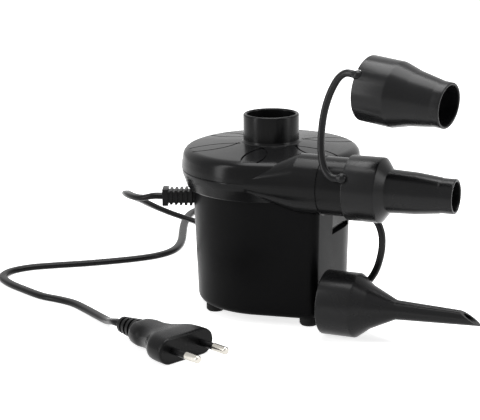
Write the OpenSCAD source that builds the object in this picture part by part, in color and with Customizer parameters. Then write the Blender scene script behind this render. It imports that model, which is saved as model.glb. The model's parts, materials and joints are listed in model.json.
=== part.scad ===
// Electric air mattress pump: mains cord, rocker switch, three push-on nozzles
// held together by flexible straps. Millimetres, +Z up. The origin is on the
// impeller's axis at the floor, and +X is the way the air blows out.

/* [Lower housing] */
// Height of the feet under the base
foot_h = 4; // [3:0.5:6]
// How much narrower the housing is at its base than under the skirt
housing_taper = 2.2; // [1:0.2:3]
// Wall of the housing
housing_wall = 2.4; // [1.8:0.2:3]
// Rounding of the bottom edge
base_edge_r = 3.5; // [2:0.5:5]
// Radius of the housing's square-ish front corner
corner_r = 5; // [4:0.5:7]
// How far the flat beside the corner stands inside the round's side
corner_in_x = 1.5; // [0.5:0.5:3]
// How far the front wall stands inside the round's front
corner_in_y = 4.7; // [4:0.1:6]
// Depth of the recess round the switch
recess_depth = 3.4; // [2:0.2:4]
// Thickness of the floor plate
floor_t = 2.4; // [2:0.2:3]

/* [Volute and cover] */
// How far the skirt's lower edge stands out from the housing
skirt_step = 3.1; // [2.6:0.1:3.6]
// How much the skirt widens up to the line where cover and volute meet
skirt_flare = 2.9; // [2.4:0.1:3.4]
// Height of the skirt, from the housing to that line
skirt_h = 9.9; // [9:0.1:11]
// Height of the cover from that line to its shoulder
cover_h = 11.2; // [10.8:0.2:12]
// Rise of the cover from its shoulder to the inlet
crown_rise = 2.4; // [2:0.2:3]
// Rounding of the cover's shoulder
shoulder_r = 5; // [3:0.5:6]
// Wall of the cover and the skirt
cover_wall = 2.2; // [1.8:0.2:2.4]
// Thickness of the deck under the impeller
deck_t = 2.5; // [2:0.1:3]
// Gap between the impeller and the tightest place of the spiral air channel
impeller_gap = 2; // [1.5:0.25:3]
// Growth of the spiral's radius over its turn
scroll_growth = 9; // [7:0.5:10]
// Wall of the spiral channel
scroll_wall = 1.6; // [1.2:0.2:2]
// Width of each swirl groove in the cover
groove_w = 1.1; // [0.8:0.1:1.6]
// Depth of each swirl groove
groove_depth = 0.7; // [0.4:0.1:1]
// Number of swirl grooves
groove_count = 6; // [4:1:8]

/* [Inlet and outlet] */
// Outside radius of the inlet neck and of the outlet spigot
port_r = 15.1; // [14.8:0.1:15.3]
// Bore radius of the inlet and the outlet
port_bore_r = 13.1; // [12.8:0.1:13.3]
// Height of the inlet's neck above the cover
neck_rise = 15.3; // [13:0.1:18]
// Wall of the outlet duct
duct_wall = 2.5; // [2.3:0.1:2.8]
// Where the duct ends and the spigot begins
duct_end_x = 44; // [43:0.5:46]
// How far the spigot reaches from the duct
spigot_len = 29; // [26:0.5:30]
// Depth of the spigot's tail inside the duct
spigot_tail = 6; // [5:0.5:8]
// Opening angle of the duct's growing part
duct_flare = 21.3; // [20:0.1:22]
// Number of bars in the inlet grille
grille_bars = 5; // [3:2:7]

/* [Nozzles] */
// Outside radius of every nozzle's socket
socket_r = 16.8; // [16.6:0.1:17.2]
// Length of the fitted nozzle's socket
medium_socket = 17.2; // [16:0.2:19]
// Length of the fitted nozzle
medium_len = 55.6; // [50:0.2:60]
// Outside radius of the fitted nozzle's mouth
medium_mouth_r = 8.9; // [8.4:0.1:9.4]
// Length of the large nozzle's socket
large_socket = 17.8; // [16:0.2:19]
// Length of the large nozzle
large_len = 46; // [42:0.5:50]
// Outside radius of the large nozzle's mouth
large_mouth_r = 11.6; // [11:0.1:12.4]
// Length of the narrow nozzle's socket
narrow_socket = 18; // [16:0.2:19]
// Length of the narrow nozzle
narrow_len = 82.8; // [78:0.2:88]
// Outside radius of the narrow nozzle's tip
narrow_tip_r = 3.3; // [3:0.1:3.8]
// Wall of the nozzles beyond their sockets
nozzle_wall = 1.4; // [1.2:0.1:1.5]
// How far the fitted nozzle's rim stands from the duct's end
medium_rim_gap = 14; // [13:0.5:16]
// Thickness of the straps
strap_d = 3.8; // [3.4:0.2:4]
// Radius of the ball at each strap's end
ball_r = 2.7; // [2.4:0.1:3]

/* [Motor] */
// Radius of the motor's can
motor_r = 16.5; // [16:0.1:16.6]
// Room under the motor's can
motor_room = 10.1; // [9.5:0.1:12]
// Wall of the can
can_wall = 1.4; // [1.2:0.1:1.6]
// Radius of the shaft
shaft_r = 1.6; // [1.5:0.05:2]
// Radius of the armature
armature_r = 10.6; // [10:0.1:10.8]
// Length of the armature's iron
armature_len = 22; // [18:0.5:24]
// Thickness of the magnets
magnet_t = 3.8; // [3:0.1:4]
// Number of the armature's teeth
teeth = 8; // [6:1:12]
// Radius of the commutator
commutator_r = 4.6; // [4.2:0.1:5]
// Radius of each bearing bush
bush_r = 3.6; // [3.2:0.1:4]

/* [Impeller] */
// Radius of the impeller
impeller_r = 28; // [26:0.2:28.4]
// Height of the impeller's blades at the hub
blade_h = 11; // [9:0.5:12]
// Number of blades
blade_count = 9; // [7:1:12]
// Thickness of the blades
blade_t = 1.3; // [1:0.1:1.8]
// Thickness of the impeller's back plate
backplate_t = 1.6; // [1.2:0.1:2]

/* [Switch] */
// Width of the switch's bezel
bezel_w = 21; // [19:0.5:22]
// Height of the switch's bezel
bezel_h = 15; // [14:0.5:16]
// Thickness of the bezel
bezel_t = 2; // [1.6:0.2:2.2]
// Depth of the switch's case behind the bezel
switch_depth = 12; // [10:0.5:12.5]
// Sideways place of the switch
switch_y = -4; // [-5:0.5:-3]
// How far the switch's middle stands under the skirt
switch_drop = 12; // [11:0.5:13]
// How far the rocker tilts from one position to the other
rocker_swing = 16; // [12:1:18]

/* [Fasteners] */
// Radius of the screws' thread
screw_r = 1.4; // [1.3:0.05:1.5]
// Radius of the screws' heads
screw_head_r = 2.6; // [2.4:0.1:2.8]
// Height of the screws' heads
screw_head_h = 2; // [1.6:0.2:2.4]

/* [Mains cord] */
// Width of the flat two-core cord
cord_w = 5.4; // [5:0.1:5.6]
// Thickness of the cord
cord_t = 3.2; // [3:0.1:3.3]
// Direction in which the cord leaves the housing
gland_turn = -158; // [-162:1:-154]
// How far the strain relief stands out of the housing's wall
relief_reach = 17; // [15:0.5:18]
// Radius of the coil's outermost turn
coil_r = 39; // [36:0.5:40]
// Turns in the coil, which end on its left side
coil_turns = 3.75; // [2.75:1:4.75]

/* [Plug] */
// Width of the plug's face
plug_w = 35.3; // [35:0.1:35.5]
// Height of the plug's face
plug_h = 13.7; // [13.5:0.1:14]
// Length of the plug's body
plug_len = 36; // [34:0.5:38]
// Distance between the pins
pin_pitch = 18.4; // [18:0.1:19]
// Radius of the pins
pin_r = 2; // [1.95:0.05:2.05]
// Length of the pins
pin_len = 19; // [18.5:0.1:19.5]
// Length of the insulating sleeves on the pins
sleeve_len = 10; // [9.5:0.5:10.5]

/* [Clearances] */
// Gap round the spigot inside a nozzle's socket
socket_gap = 0.06; // [0.04:0.01:0.08]
// Gap round the shaft in its bushes
shaft_gap = 0.04; // [0.02:0.01:0.06]
// Gap between the brushes and the commutator
brush_gap = 0.15; // [0.1:0.05:0.2]
// Gap round pieces that are pressed or slid together
seat_gap = 0.05; // [0.03:0.01:0.1]
// Gap round the spigot's glued tail
glue_gap = 0.12; // [0.1:0.01:0.2]
// Gap between parts that move past each other
free_gap = 0.35; // [0.3:0.05:0.5]
// Gap between the turns of the coil
turn_gap = 0.5; // [0.45:0.05:0.8]

/* [Hidden] */
$fn = 96;
hull_fn = 32;
film = 0.01;
past = 1;

// Lengths along the motor, from the can's lower edge
armature_rise = 17;
winding_end = 4;
motor_top_room = 7;
motor_len = armature_rise + armature_len + winding_end + motor_top_room;

// Heights through the pump, from the floor up
floor_top_z = foot_h + floor_t;
deck_step = 1.5;
housing_top_z = floor_top_z + motor_room + motor_len + deck_t - deck_step;
deck_top_z = housing_top_z + deck_step;
deck_z = deck_top_z - deck_t;
split_z = housing_top_z + skirt_h;
shoulder_z = split_z + cover_h;
crown_z = shoulder_z + crown_rise;
port_top_z = crown_z + neck_rise;
ceiling_z = shoulder_z - cover_wall;
grille_t = 2;
motor_z = deck_z - motor_len;
switch_z = housing_top_z - switch_drop;
gland_z = housing_top_z - 7;

// Radii, from the impeller outwards
scroll_min_r = impeller_r + impeller_gap;
deck_r = scroll_min_r + scroll_growth + 0.9;
housing_top_r = deck_r + 0.5 + housing_wall;
housing_base_r = housing_top_r - housing_taper;
skirt_low_r = housing_top_r + skirt_step;
split_r = skirt_low_r + skirt_flare;
cover_screw_ring = deck_r - screw_head_r - 0.6;
housing_screw_ring = housing_base_r - 5.6;
foot_ring = housing_base_r - 6.6;

// The outlet's axis lies in the plane where cover and volute meet, and the
// duct's front stands as far out as the cover
duct_r = port_bore_r + duct_wall;
outlet_y = -(split_r - 0.2 - duct_r);
outlet_z = split_z;
tail_r = port_bore_r + 1.1;
spigot_end_x = duct_end_x + spigot_len;
medium_rim_x = duct_end_x + medium_rim_gap;

// Radius of the housing at a height
function housing_r(z) =
    housing_base_r + (housing_top_r - housing_base_r) * (z - foot_h) / (housing_top_z - foot_h);
function polar(r, a) = [r * cos(a), r * sin(a)];
function polar3(r, a, z) = [r * cos(a), r * sin(a), z];

// ---------------------------------------------------------------- housing

// A closed solid through rings of points that have the same number each
module loft(rings) {
    n = len(rings[0]);
    m = len(rings);
    skin = [
        for (i = [0:m - 2], k = [0:n - 1])
            let(a = i * n + k, b = i * n + (k + 1) % n)
                each [[a, a + n, b], [b, a + n, b + n]]
    ];
    bottom = [for (k = [1:n - 2]) [0, k, k + 1]];
    top = [for (k = [1:n - 2]) [(m - 1) * n, (m - 1) * n + k + 1, (m - 1) * n + k]];
    polyhedron(points = [for (r = rings) each r], faces = concat(skin, bottom, top));
}

// Plan of the housing at a height: a round with one square-ish corner, joined
// to the round by the two lines that touch both
function housing_ring(z, size_z, inset) =
    let(
        r = housing_r(size_z),
        c = [r - corner_in_x - corner_r, -(r - corner_in_y - corner_r)],
        a = atan2(c[1], c[0]),
        b = acos((r - corner_r) / norm(c)),
        small = max(corner_r - inset, 0.5)
    )
    concat(
        [for (i = [0:round_steps]) let(t = a + b + (360 - 2 * b) * i / round_steps)
            [(r - inset) * cos(t), (r - inset) * sin(t), z]],
        [for (i = [0:corner_steps]) let(t = a - b + 2 * b * i / corner_steps)
            [c[0] + small * cos(t), c[1] + small * sin(t), z]]
    );

round_steps = 72;
corner_steps = 12;

module housing_outside() {
    loft(concat(
        [for (a = [0:22.5:90])
            let(z = foot_h + base_edge_r * (1 - cos(a))) housing_ring(z, z, base_edge_r * (1 - sin(a)))],
        [housing_ring(housing_top_z, housing_top_z, 0)]
    ));
}

module housing_inside() {
    loft([
        housing_ring(floor_top_z, floor_top_z, housing_wall + 1.6),
        housing_ring(floor_top_z + 1.6, floor_top_z + 1.6, housing_wall),
        housing_ring(housing_top_z + past, housing_top_z, housing_wall)
    ]);
}

// The flat recess that the switch sits in
recess_x = housing_r(switch_z) - corner_in_x - recess_depth;
recess_w = bezel_w + 3;
recess_z0 = switch_z - bezel_h / 2 - 1.5;

module recess_box(grow) {
    translate([recess_x - grow, switch_y - recess_w / 2 - grow, recess_z0 - grow])
        cube([20, recess_w + 2 * grow, housing_top_z - recess_z0 + past + 2 * grow]);
}

// The wall behind the recess runs into the housing's own wall on every side
module switch_wall() {
    z0 = recess_z0 - housing_wall;
    translate([recess_x - housing_wall, switch_y - recess_w / 2 - housing_wall, z0])
        cube([housing_wall, recess_w + 2 * housing_wall, housing_top_z - z0]);
    translate([recess_x - housing_wall, switch_y - recess_w / 2 - housing_wall, z0])
        cube([recess_depth + 1, recess_w + 2 * housing_wall, housing_wall]);
    for (y = [-recess_w / 2 - housing_wall, recess_w / 2])
        translate([recess_x - housing_wall, switch_y + y, z0])
            cube([recess_depth + 1, housing_wall, housing_top_z - z0]);
}

case_w = bezel_w - 2;
case_h = bezel_h - 2;
case_back_x = recess_x - switch_depth;

module switch_hole() {
    translate([recess_x - 5, switch_y - case_w / 2 - seat_gap, switch_z - case_h / 2 - seat_gap])
        cube([10, case_w + 2 * seat_gap, case_h + 2 * seat_gap]);
}

screw_angles = [30, 118, 176, 285];
housing_screw_z = 46;
boss_r = screw_r + 1.8;

module housing_columns() {
    for (a = screw_angles)
        translate(polar3(housing_screw_ring, a, foot_h + 0.5))
            cylinder(r = screw_head_r + 1.5, h = housing_screw_z - foot_h - 0.5 + 3);
}

module housing_screw_holes() {
    for (a = screw_angles) translate(polar(housing_screw_ring, a)) {
        cylinder(r = screw_head_r + 0.3, h = housing_screw_z);
        cylinder(r = screw_r + 0.3, h = housing_screw_z + 10);
    }
}

// Feet stand on a square that takes in the corner
foot_r = 5;
foot_seat = 1.2;
foot_places = [
    polar(foot_ring, -133), polar(foot_ring, 137), polar(foot_ring, 47),
    [housing_base_r - 7.2, -(housing_base_r - 11.1)]
];

module foot_pockets() {
    for (p = foot_places)
        translate([p[0], p[1], foot_h - past]) cylinder(r = foot_r + seat_gap, h = foot_seat + past);
}

vent_w = 2;

module base_vents() {
    for (i = [-4:4])
        translate([i * 2 * vent_w - vent_w / 2, -8, foot_h - past])
            cube([vent_w, 16, floor_t + 2 * past]);
}

damper_t = 2.2;
cap_r = motor_r - can_wall - seat_gap;
cap_z = motor_z - 3;
cup_r = motor_r + damper_t + seat_gap;
cup_h = cap_z + 8 - floor_top_z;

module damper_cup() {
    translate([0, 0, floor_top_z - 0.3]) difference() {
        cylinder(r = cup_r + 1.6, h = cup_h + 0.3);
        translate([0, 0, -past]) cylinder(r = cup_r, h = cup_h + 3 * past);
    }
}

// The circuit board's slotted posts
board_y = motor_r + 12.5;
board_t = 1.6;
board_w = 20;
board_z = 14;
board_h = 32;

module board_posts() {
    for (s = [-1, 1])
        difference() {
            translate([s * board_w / 2 - 2, board_y - 2.5, floor_top_z - 0.3])
                cube([4, board_t + 5, board_z - floor_top_z + 8.3]);
            translate([-board_w / 2 - seat_gap, board_y - seat_gap, board_z])
                cube([board_w + 2 * seat_gap, board_t + 2 * seat_gap, board_h]);
        }
}

// The strain relief's seat, in the housing's own wall
gland_w = 11;
gland_h = 8.6;
neck_w = gland_w - 2.4;
neck_h = gland_h - 2.4;
wall_r = housing_r(gland_z);
relief_in = wall_r - 7.5;
gland_end = wall_r + relief_reach;

module at_gland() {
    rotate([0, 0, gland_turn]) translate([0, 0, gland_z]) children();
}

module gland_hole() {
    at_gland() translate([wall_r - 9, -neck_w / 2 - seat_gap, -neck_h / 2 - seat_gap])
        cube([14, neck_w + 2 * seat_gap, neck_h + 2 * seat_gap]);
}

clamp_gap = 14;

module clamp_posts() {
    at_gland() difference() {
        union() {
            for (s = [-1, 1]) translate([clamp_place, s * clamp_gap / 2, -cord_t / 2 - 8])
                cylinder(r = 2.6, h = 8 + cord_t - seat_gap);
            translate([clamp_place - 2.6, -clamp_gap / 2, -cord_t / 2 - 8]) cube([5.2, clamp_gap, 8 - seat_gap]);
            translate([clamp_place, -1, -cord_t / 2 - 8]) cube([wall_r - clamp_place - 1.4, 2, 4]);
        }
        for (s = [-1, 1]) translate([clamp_place, s * clamp_gap / 2, -cord_t / 2 - 6])
            cylinder(r = screw_r + seat_gap, h = 12);
    }
}

clamp_place = relief_in - 4;

module lower_housing() {
    color([0.09, 0.09, 0.1]) difference() {
        union() {
            difference() {
                housing_outside();
                housing_inside();
            }
            housing_columns();
            switch_wall();
            damper_cup();
            board_posts();
            clamp_posts();
        }
        recess_box(0);
        duct_outside(seat_gap);
        switch_hole();
        housing_screw_holes();
        foot_pockets();
        base_vents();
        gland_hole();
        for (a = cover_screw_angles)
            translate(polar3(cover_screw_ring, a, deck_z - screw_head_h - free_gap))
                cylinder(r = screw_head_r + free_gap, h = 10);
        translate([0, 0, deck_z]) cylinder(r = deck_r + seat_gap, h = 10);
    }
}

module feet() {
    color([0.05, 0.05, 0.05]) for (p = foot_places) translate([p[0], p[1], 0]) {
        cylinder(r1 = foot_r - 0.8, r2 = foot_r, h = 1);
        translate([0, 0, 1]) cylinder(r = foot_r, h = foot_h + foot_seat - 1);
    }
}

module screw(len) {
    difference() {
        union() {
            cylinder(r = screw_head_r, h = screw_head_h);
            cylinder(r = screw_r, h = screw_head_h + len);
        }
        for (a = [0, 90]) rotate([0, 0, a]) translate([-1.5, -0.4, -past]) cube([3, 0.8, 1 + past]);
    }
}

module housing_screws() {
    color([0.6, 0.6, 0.62]) for (a = screw_angles)
        translate(polar3(housing_screw_ring, a, housing_screw_z - screw_head_h)) screw(16);
}

// ---------------------------------------------------------- volute and cover

// The duct's outside: a cone that grows along the front and becomes a tube
tube_x = 31;
apex_x = tube_x - (duct_r / tan(duct_flare)) * cos(duct_flare);

module at_outlet(x) {
    translate([x, outlet_y, outlet_z]) rotate([0, 90, 0]) children();
}

module duct_outside(grow) {
    at_outlet(tube_x) cylinder(r = duct_r + grow, h = duct_end_x - tube_x + grow);
    hull() {
        at_outlet(tube_x - 1) cylinder(r = duct_r + grow - 0.03, h = 1, $fn = 2 * hull_fn);
        translate([apex_x + 1, outlet_y - duct_r + 1, outlet_z]) sphere(r = 1 + grow - 0.03, $fn = hull_fn / 2);
    }
}

// The air's way out: rounded at its start, which opens into the spiral
module duct_inside() {
    at_outlet(0) rotate_extrude() polygon(concat(
        [for (a = [0:15:90]) [port_bore_r * sin(a), tube_x - port_bore_r * cos(a)]],
        [
            [port_bore_r, duct_end_x - spigot_tail - seat_gap], [tail_r + glue_gap, duct_end_x - spigot_tail - seat_gap],
            [tail_r + glue_gap, duct_end_x + past], [0, duct_end_x + past]
        ]
    ));
}

module below(z) {
    intersection() {
        children();
        translate([-100, -100, z - 200]) cube([200, 200, 200]);
    }
}

module above(z) {
    intersection() {
        children();
        translate([-100, -100, z]) cube([200, 200, 200]);
    }
}

// The spiral channel opens to the outlet and is tightest just past it
tongue = -40;
scroll_steps = 60;
scroll_exit_x = 22;

function scroll_points(extra) = concat(
    [for (i = [0:scroll_steps])
        let(f = i / scroll_steps) polar(scroll_min_r + extra + scroll_growth * f, tongue + 310 * f)],
    [[scroll_exit_x, -(scroll_min_r + scroll_growth - 1 + extra)]]
);

module scroll(z0, z1, extra) {
    translate([0, 0, z0]) linear_extrude(z1 - z0) polygon(scroll_points(extra));
}

cover_screw_angles = [-22, 65, 155, 238];
pillar_r = boss_r - 0.3;
sleeve_gap = 0.15;
seam = 0.3;

// The cover's pillars pass the spiral in sleeves of their own
module pillar_sleeves(z0, z1) {
    for (a = cover_screw_angles) translate(polar3(cover_screw_ring, a, z0))
        cylinder(r = pillar_r + sleeve_gap + 1.2, h = z1 - z0);
}

module scroll_air(z0, z1) {
    difference() {
        scroll(z0, z1, 0);
        pillar_sleeves(z0 - past, z1 + past);
    }
}

module volute_skin() {
    rotate_extrude() polygon([
        [0, deck_z], [deck_r, deck_z], [deck_r, housing_top_z], [skirt_low_r - 0.5, housing_top_z],
        [skirt_low_r, housing_top_z + 0.5], [split_r - seam, split_z - 2], [split_r - seam, split_z - 0.5],
        [split_r - 2 * seam, split_z], [0, split_z]
    ]);
}

module volute_hollow() {
    rotate_extrude() polygon([
        [0, deck_top_z], [skirt_low_r - cover_wall, deck_top_z],
        [split_r - cover_wall - seam, split_z - 1], [split_r - cover_wall - seam, split_z + past],
        [0, split_z + past]
    ]);
}

module volute_base() {
    color([0.1, 0.1, 0.11]) difference() {
        union() {
            difference() {
                union() {
                    volute_skin();
                    below(split_z) duct_outside(0);
                }
                difference() {
                    volute_hollow();
                    scroll(deck_z, split_z + 2 * past, scroll_wall);
                    pillar_sleeves(deck_z, split_z + 2 * past);
                    duct_outside(0);
                }
                scroll_air(deck_top_z, split_z + past);
                duct_inside();
            }
            for (a = screw_angles)
                translate(polar3(housing_screw_ring, a, housing_screw_z + 3.2))
                    cylinder(r = boss_r, h = deck_z - housing_screw_z - 3);
        }
        for (a = screw_angles)
            translate(polar3(housing_screw_ring, a, housing_screw_z))
                cylinder(r = screw_r + seat_gap, h = 17.5);
        for (a = cover_screw_angles) translate(polar3(cover_screw_ring, a, 0)) {
            translate([0, 0, deck_z - past]) cylinder(r = screw_r + 0.3, h = deck_t + 2 * past);
            translate([0, 0, deck_top_z]) cylinder(r = pillar_r + sleeve_gap, h = 20);
        }
        translate([0, 0, deck_z - past]) cylinder(r = bush_r + 2, h = deck_t + 2 * past);
        for (a = [45, 225])
            translate(polar3(motor_screw_ring, a, deck_z - past)) cylinder(r = screw_r + 0.2, h = deck_t + 2 * past);
    }
}

crown_r = port_r + 1.2;

function shoulder_arc(r, z, e) = [for (a = [0:15:90]) [r - e + e * cos(a), z - e + e * sin(a)]];

module cover_skin() {
    rotate_extrude() polygon(concat(
        [[0, split_z], [split_r - 2 * seam, split_z], [split_r, split_z + 0.5], [split_r - 0.3, split_z + 4]],
        shoulder_arc(split_r - 0.8, shoulder_z + 0.2, shoulder_r),
        [[crown_r, crown_z], [0, crown_z]]
    ));
}

module cover_hollow() {
    rotate_extrude() polygon([
        [0, split_z - past], [split_r - cover_wall - seam, split_z - past],
        [split_r - cover_wall - 0.8, ceiling_z - 2.6], [split_r - cover_wall - 3.4, ceiling_z],
        [0, ceiling_z]
    ]);
}

// A groove sweeps clockwise from the inlet to the shoulder
groove_arc_r = 26;
groove_in_r = port_r + 2.4;
groove_out_r = split_r - 4;
groove_sweep = 62;

module groove_band() {
    p = polar(groove_in_r, 0);
    q = polar(groove_out_r, -groove_sweep);
    mid = (p + q) / 2;
    half = norm(q - p) / 2;
    out = [q[1] - p[1], p[0] - q[0]] / (2 * half);
    c = mid + out * sqrt(groove_arc_r * groove_arc_r - half * half) * -1;
    intersection() {
        translate(c) difference() {
            circle(r = groove_arc_r + groove_w / 2);
            circle(r = groove_arc_r - groove_w / 2);
        }
        difference() {
            circle(r = groove_out_r);
            circle(r = groove_in_r);
        }
        polygon([p * 0.2, polar(80, 25), polar(90, -30), polar(80, -85), polar(16, -100)]);
    }
}

module dome_layer() {
    slope = (crown_z - shoulder_z - 0.2) / (split_r - 0.8 - shoulder_r - crown_r);
    far_r = 60;
    far_z = crown_z - slope * (far_r - crown_r);
    rotate_extrude() polygon([
        [0, crown_z - groove_depth], [crown_r, crown_z - groove_depth], [far_r, far_z - groove_depth],
        [far_r, crown_z + 5], [0, crown_z + 5]
    ]);
}

module swirl_grooves() {
    intersection() {
        dome_layer();
        for (i = [0:groove_count - 1])
            rotate([0, 0, 35 + i * 360 / groove_count])
                translate([0, 0, shoulder_z - 3]) linear_extrude(6) groove_band();
    }
}

grille_r = port_bore_r + 1.5;

// The neck, with its root in the cover's crown and the grille's seat under it
module inlet_neck() {
    lip = (port_r - port_bore_r) / 2;
    root_r = crown_r - seat_gap;
    seat_r = grille_r + seat_gap;
    color([0.13, 0.13, 0.14]) rotate_extrude() polygon(concat(
        [[seat_r, ceiling_z], [root_r, ceiling_z], [root_r, crown_z]],
        [[port_r + 0.5, crown_z + 0.4], [port_r, crown_z + 1.4]],
        [for (a = [0:15:180]) [port_bore_r + lip + lip * cos(a), port_top_z - lip + lip * sin(a)]],
        [[port_bore_r, ceiling_z + grille_t], [seat_r, ceiling_z + grille_t]]
    ));
}

module top_cover() {
    color([0.13, 0.13, 0.14]) difference() {
        union() {
            difference() {
                union() {
                    cover_skin();
                    above(split_z) duct_outside(0);
                }
                difference() {
                    cover_hollow();
                    scroll(split_z - 2 * past, ceiling_z + past, scroll_wall);
                    pillar_sleeves(split_z - 2 * past, ceiling_z + past);
                    duct_outside(0);
                }
                scroll_air(split_z - past, ceiling_z);
                duct_inside();
                swirl_grooves();
                translate([0, 0, ceiling_z - past]) cylinder(r = crown_r, h = 40);
            }
            for (a = cover_screw_angles)
                translate(polar3(cover_screw_ring, a, deck_top_z + seat_gap))
                    cylinder(r = pillar_r, h = ceiling_z - deck_top_z);
        }
        for (a = cover_screw_angles)
            translate(polar3(cover_screw_ring, a, deck_z)) cylinder(r = screw_r + seat_gap, h = 15);
    }
}

module cover_screws() {
    color([0.6, 0.6, 0.62]) for (a = cover_screw_angles)
        translate(polar3(cover_screw_ring, a, deck_z - screw_head_h)) screw(12);
}

bar_w = 1.2;

module inlet_grille() {
    color([0.08, 0.08, 0.08]) translate([0, 0, ceiling_z]) {
        difference() {
            cylinder(r = grille_r, h = grille_t);
            translate([0, 0, -past]) cylinder(r = port_bore_r - 0.6, h = grille_t + 2 * past);
        }
        difference() {
            union() {
                intersection() {
                    cylinder(r = port_bore_r, h = grille_t);
                    for (i = [0:grille_bars - 1])
                        translate([-port_bore_r, (i - (grille_bars - 1) / 2) * 4.4 - bar_w / 2, 0])
                            cube([2 * port_bore_r, bar_w, grille_t]);
                }
                for (r = [5.4, 9.6]) cylinder(r = r, h = grille_t);
            }
            for (r = [4.4, 8.6]) if (r > 8) grille_windows(9.6 - bar_w, 5.4);
            grille_windows(5.4 - bar_w, 0);
        }
    }
}

// Cuts between two of the grille's rings, leaving its bars
module grille_windows(r_out, r_in) {
    translate([0, 0, -past]) difference() {
        cylinder(r = r_out, h = grille_t + 2 * past);
        if (r_in > 0) cylinder(r = r_in, h = grille_t + 2 * past);
        for (i = [0:grille_bars - 1])
            translate([-port_bore_r, (i - (grille_bars - 1) / 2) * 4.4 - bar_w / 2, 0])
                cube([2 * port_bore_r, bar_w, grille_t + 2 * past]);
    }
}

module outlet_spigot() {
    color([0.12, 0.12, 0.13]) difference() {
        union() {
            at_outlet(duct_end_x) cylinder(r = port_r, h = spigot_end_x - duct_end_x);
            at_outlet(duct_end_x - spigot_tail) cylinder(r = tail_r, h = spigot_tail);
        }
        at_outlet(duct_end_x - spigot_tail - past)
            cylinder(r = port_bore_r, h = spigot_end_x - duct_end_x + spigot_tail + 2 * past);
    }
}

// ------------------------------------------------------------------- motor

motor_screw_ring = 10;
can_in_r = motor_r - can_wall;
cap_t = 5;

module motor_can() {
    color([0.62, 0.62, 0.64]) difference() {
        translate([0, 0, motor_z]) cylinder(r = motor_r, h = motor_len);
        translate([0, 0, motor_z - past]) cylinder(r = can_in_r, h = motor_len - can_wall + past);
        cylinder(r = bush_r + seat_gap, h = deck_z + past);
        for (a = [45, 225])
            translate(polar(motor_screw_ring, a)) cylinder(r = screw_r + seat_gap, h = deck_z + past);
    }
}

armature_z = motor_z + armature_rise;

module magnets() {
    color([0.16, 0.16, 0.17]) translate([0, 0, armature_z - 2]) difference() {
        cylinder(r = can_in_r - seat_gap, h = armature_len + 4);
        translate([0, 0, -past]) cylinder(r = can_in_r - magnet_t, h = armature_len + 4 + 2 * past);
        for (s = [0, 180]) rotate([0, 0, s])
            translate([-4, 0, -past]) cube([8, motor_r, armature_len + 4 + 2 * past]);
    }
}

module motor_end_cap() {
    color([0.85, 0.83, 0.75]) difference() {
        union() {
            translate([0, 0, cap_z]) cylinder(r = cap_r, h = motor_z - cap_z + 2);
            translate([0, 0, cap_z - 2]) cylinder(r = bush_r + 2, h = 3);
        }
        translate([0, 0, cap_z - 2 - past]) cylinder(r = bush_r + seat_gap, h = 20);
    }
}

bush_h = 4;

module bush(z) {
    translate([0, 0, z]) difference() {
        cylinder(r = bush_r, h = bush_h);
        translate([0, 0, -past]) cylinder(r = shaft_r + shaft_gap, h = bush_h + 2 * past);
    }
}

upper_bush_z = deck_z - bush_h + 0.6;

module upper_bearing() {
    color([0.72, 0.58, 0.3]) bush(upper_bush_z);
}

module lower_bearing() {
    color([0.72, 0.58, 0.3]) bush(cap_z - 1.5);
}

module motor_screws() {
    color([0.6, 0.6, 0.62]) for (a = [45, 225])
        translate(polar3(motor_screw_ring, a, deck_top_z + 1.2)) mirror([0, 0, 1]) {
            cylinder(r = screw_head_r - 0.2, h = 1.2);
            cylinder(r = screw_r, h = 1.2 + deck_t + can_wall + 1);
        }
}

module motor_damper() {
    color([0.07, 0.07, 0.07]) translate([0, 0, motor_z + 0.2]) difference() {
        cylinder(r = motor_r + damper_t, h = 8);
        translate([0, 0, -past]) cylinder(r = motor_r + seat_gap, h = 8 + 2 * past);
    }
}

// Two carbon brushes face the commutator from either side
brush_z = motor_z + 2 + free_gap;
brush_w = 4;
brush_h = 5;
brush_in = commutator_r + brush_gap;
brush_len = 4.2;
holder_in = brush_in + 1;
holder_out = can_in_r - 0.6;

module both_sides() {
    for (s = [0, 180]) rotate([0, 0, s]) children();
}

module brush_holders() {
    color([0.75, 0.62, 0.3]) both_sides() difference() {
        translate([holder_in, -brush_w / 2 - 0.9, motor_z + 2])
            cube([holder_out - holder_in - 0.8, brush_w + 1.8, brush_h + 1.6]);
        translate([holder_in - past, -brush_w / 2 - seat_gap, brush_z - seat_gap])
            cube([holder_out - holder_in - 0.8, brush_w + 2 * seat_gap, brush_h + 2 * seat_gap]);
    }
}

module brushes() {
    color([0.2, 0.2, 0.2]) difference() {
        both_sides() translate([brush_in - 0.5, -brush_w / 2, brush_z]) cube([brush_len, brush_w, brush_h]);
        translate([0, 0, brush_z - past]) cylinder(r = brush_in, h = brush_h + 2 * past);
    }
}

spring_wire = 0.5;

module brush_springs() {
    spring_x = brush_in - 0.5 + brush_len;
    spring_end = holder_out - 1.8;
    coils = 3;
    color([0.7, 0.7, 0.7]) both_sides()
        translate([spring_x, 0, brush_z + brush_h / 2]) rotate([0, 90, 0])
            for (i = [0:coils - 1])
                translate([0, 0, spring_wire / 2 + i * (spring_end - spring_x - spring_wire) / (coils - 1)])
                    rotate_extrude() translate([1.3, 0]) circle(r = spring_wire / 2, $fn = 16);
}

// ------------------------------------------------------------------- rotor

impeller_z = deck_top_z + 2;
shaft_z = cap_z - 1;
shaft_top_z = impeller_z + backplate_t + blade_h + 2;

module shaft() {
    color([0.75, 0.75, 0.78]) translate([0, 0, shaft_z]) {
        cylinder(r = shaft_r, h = shaft_top_z - shaft_z - 0.4);
        translate([0, 0, shaft_top_z - shaft_z - 0.4]) cylinder(r1 = shaft_r, r2 = shaft_r - 0.4, h = 0.4);
    }
}

tooth_w = 3;

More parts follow.
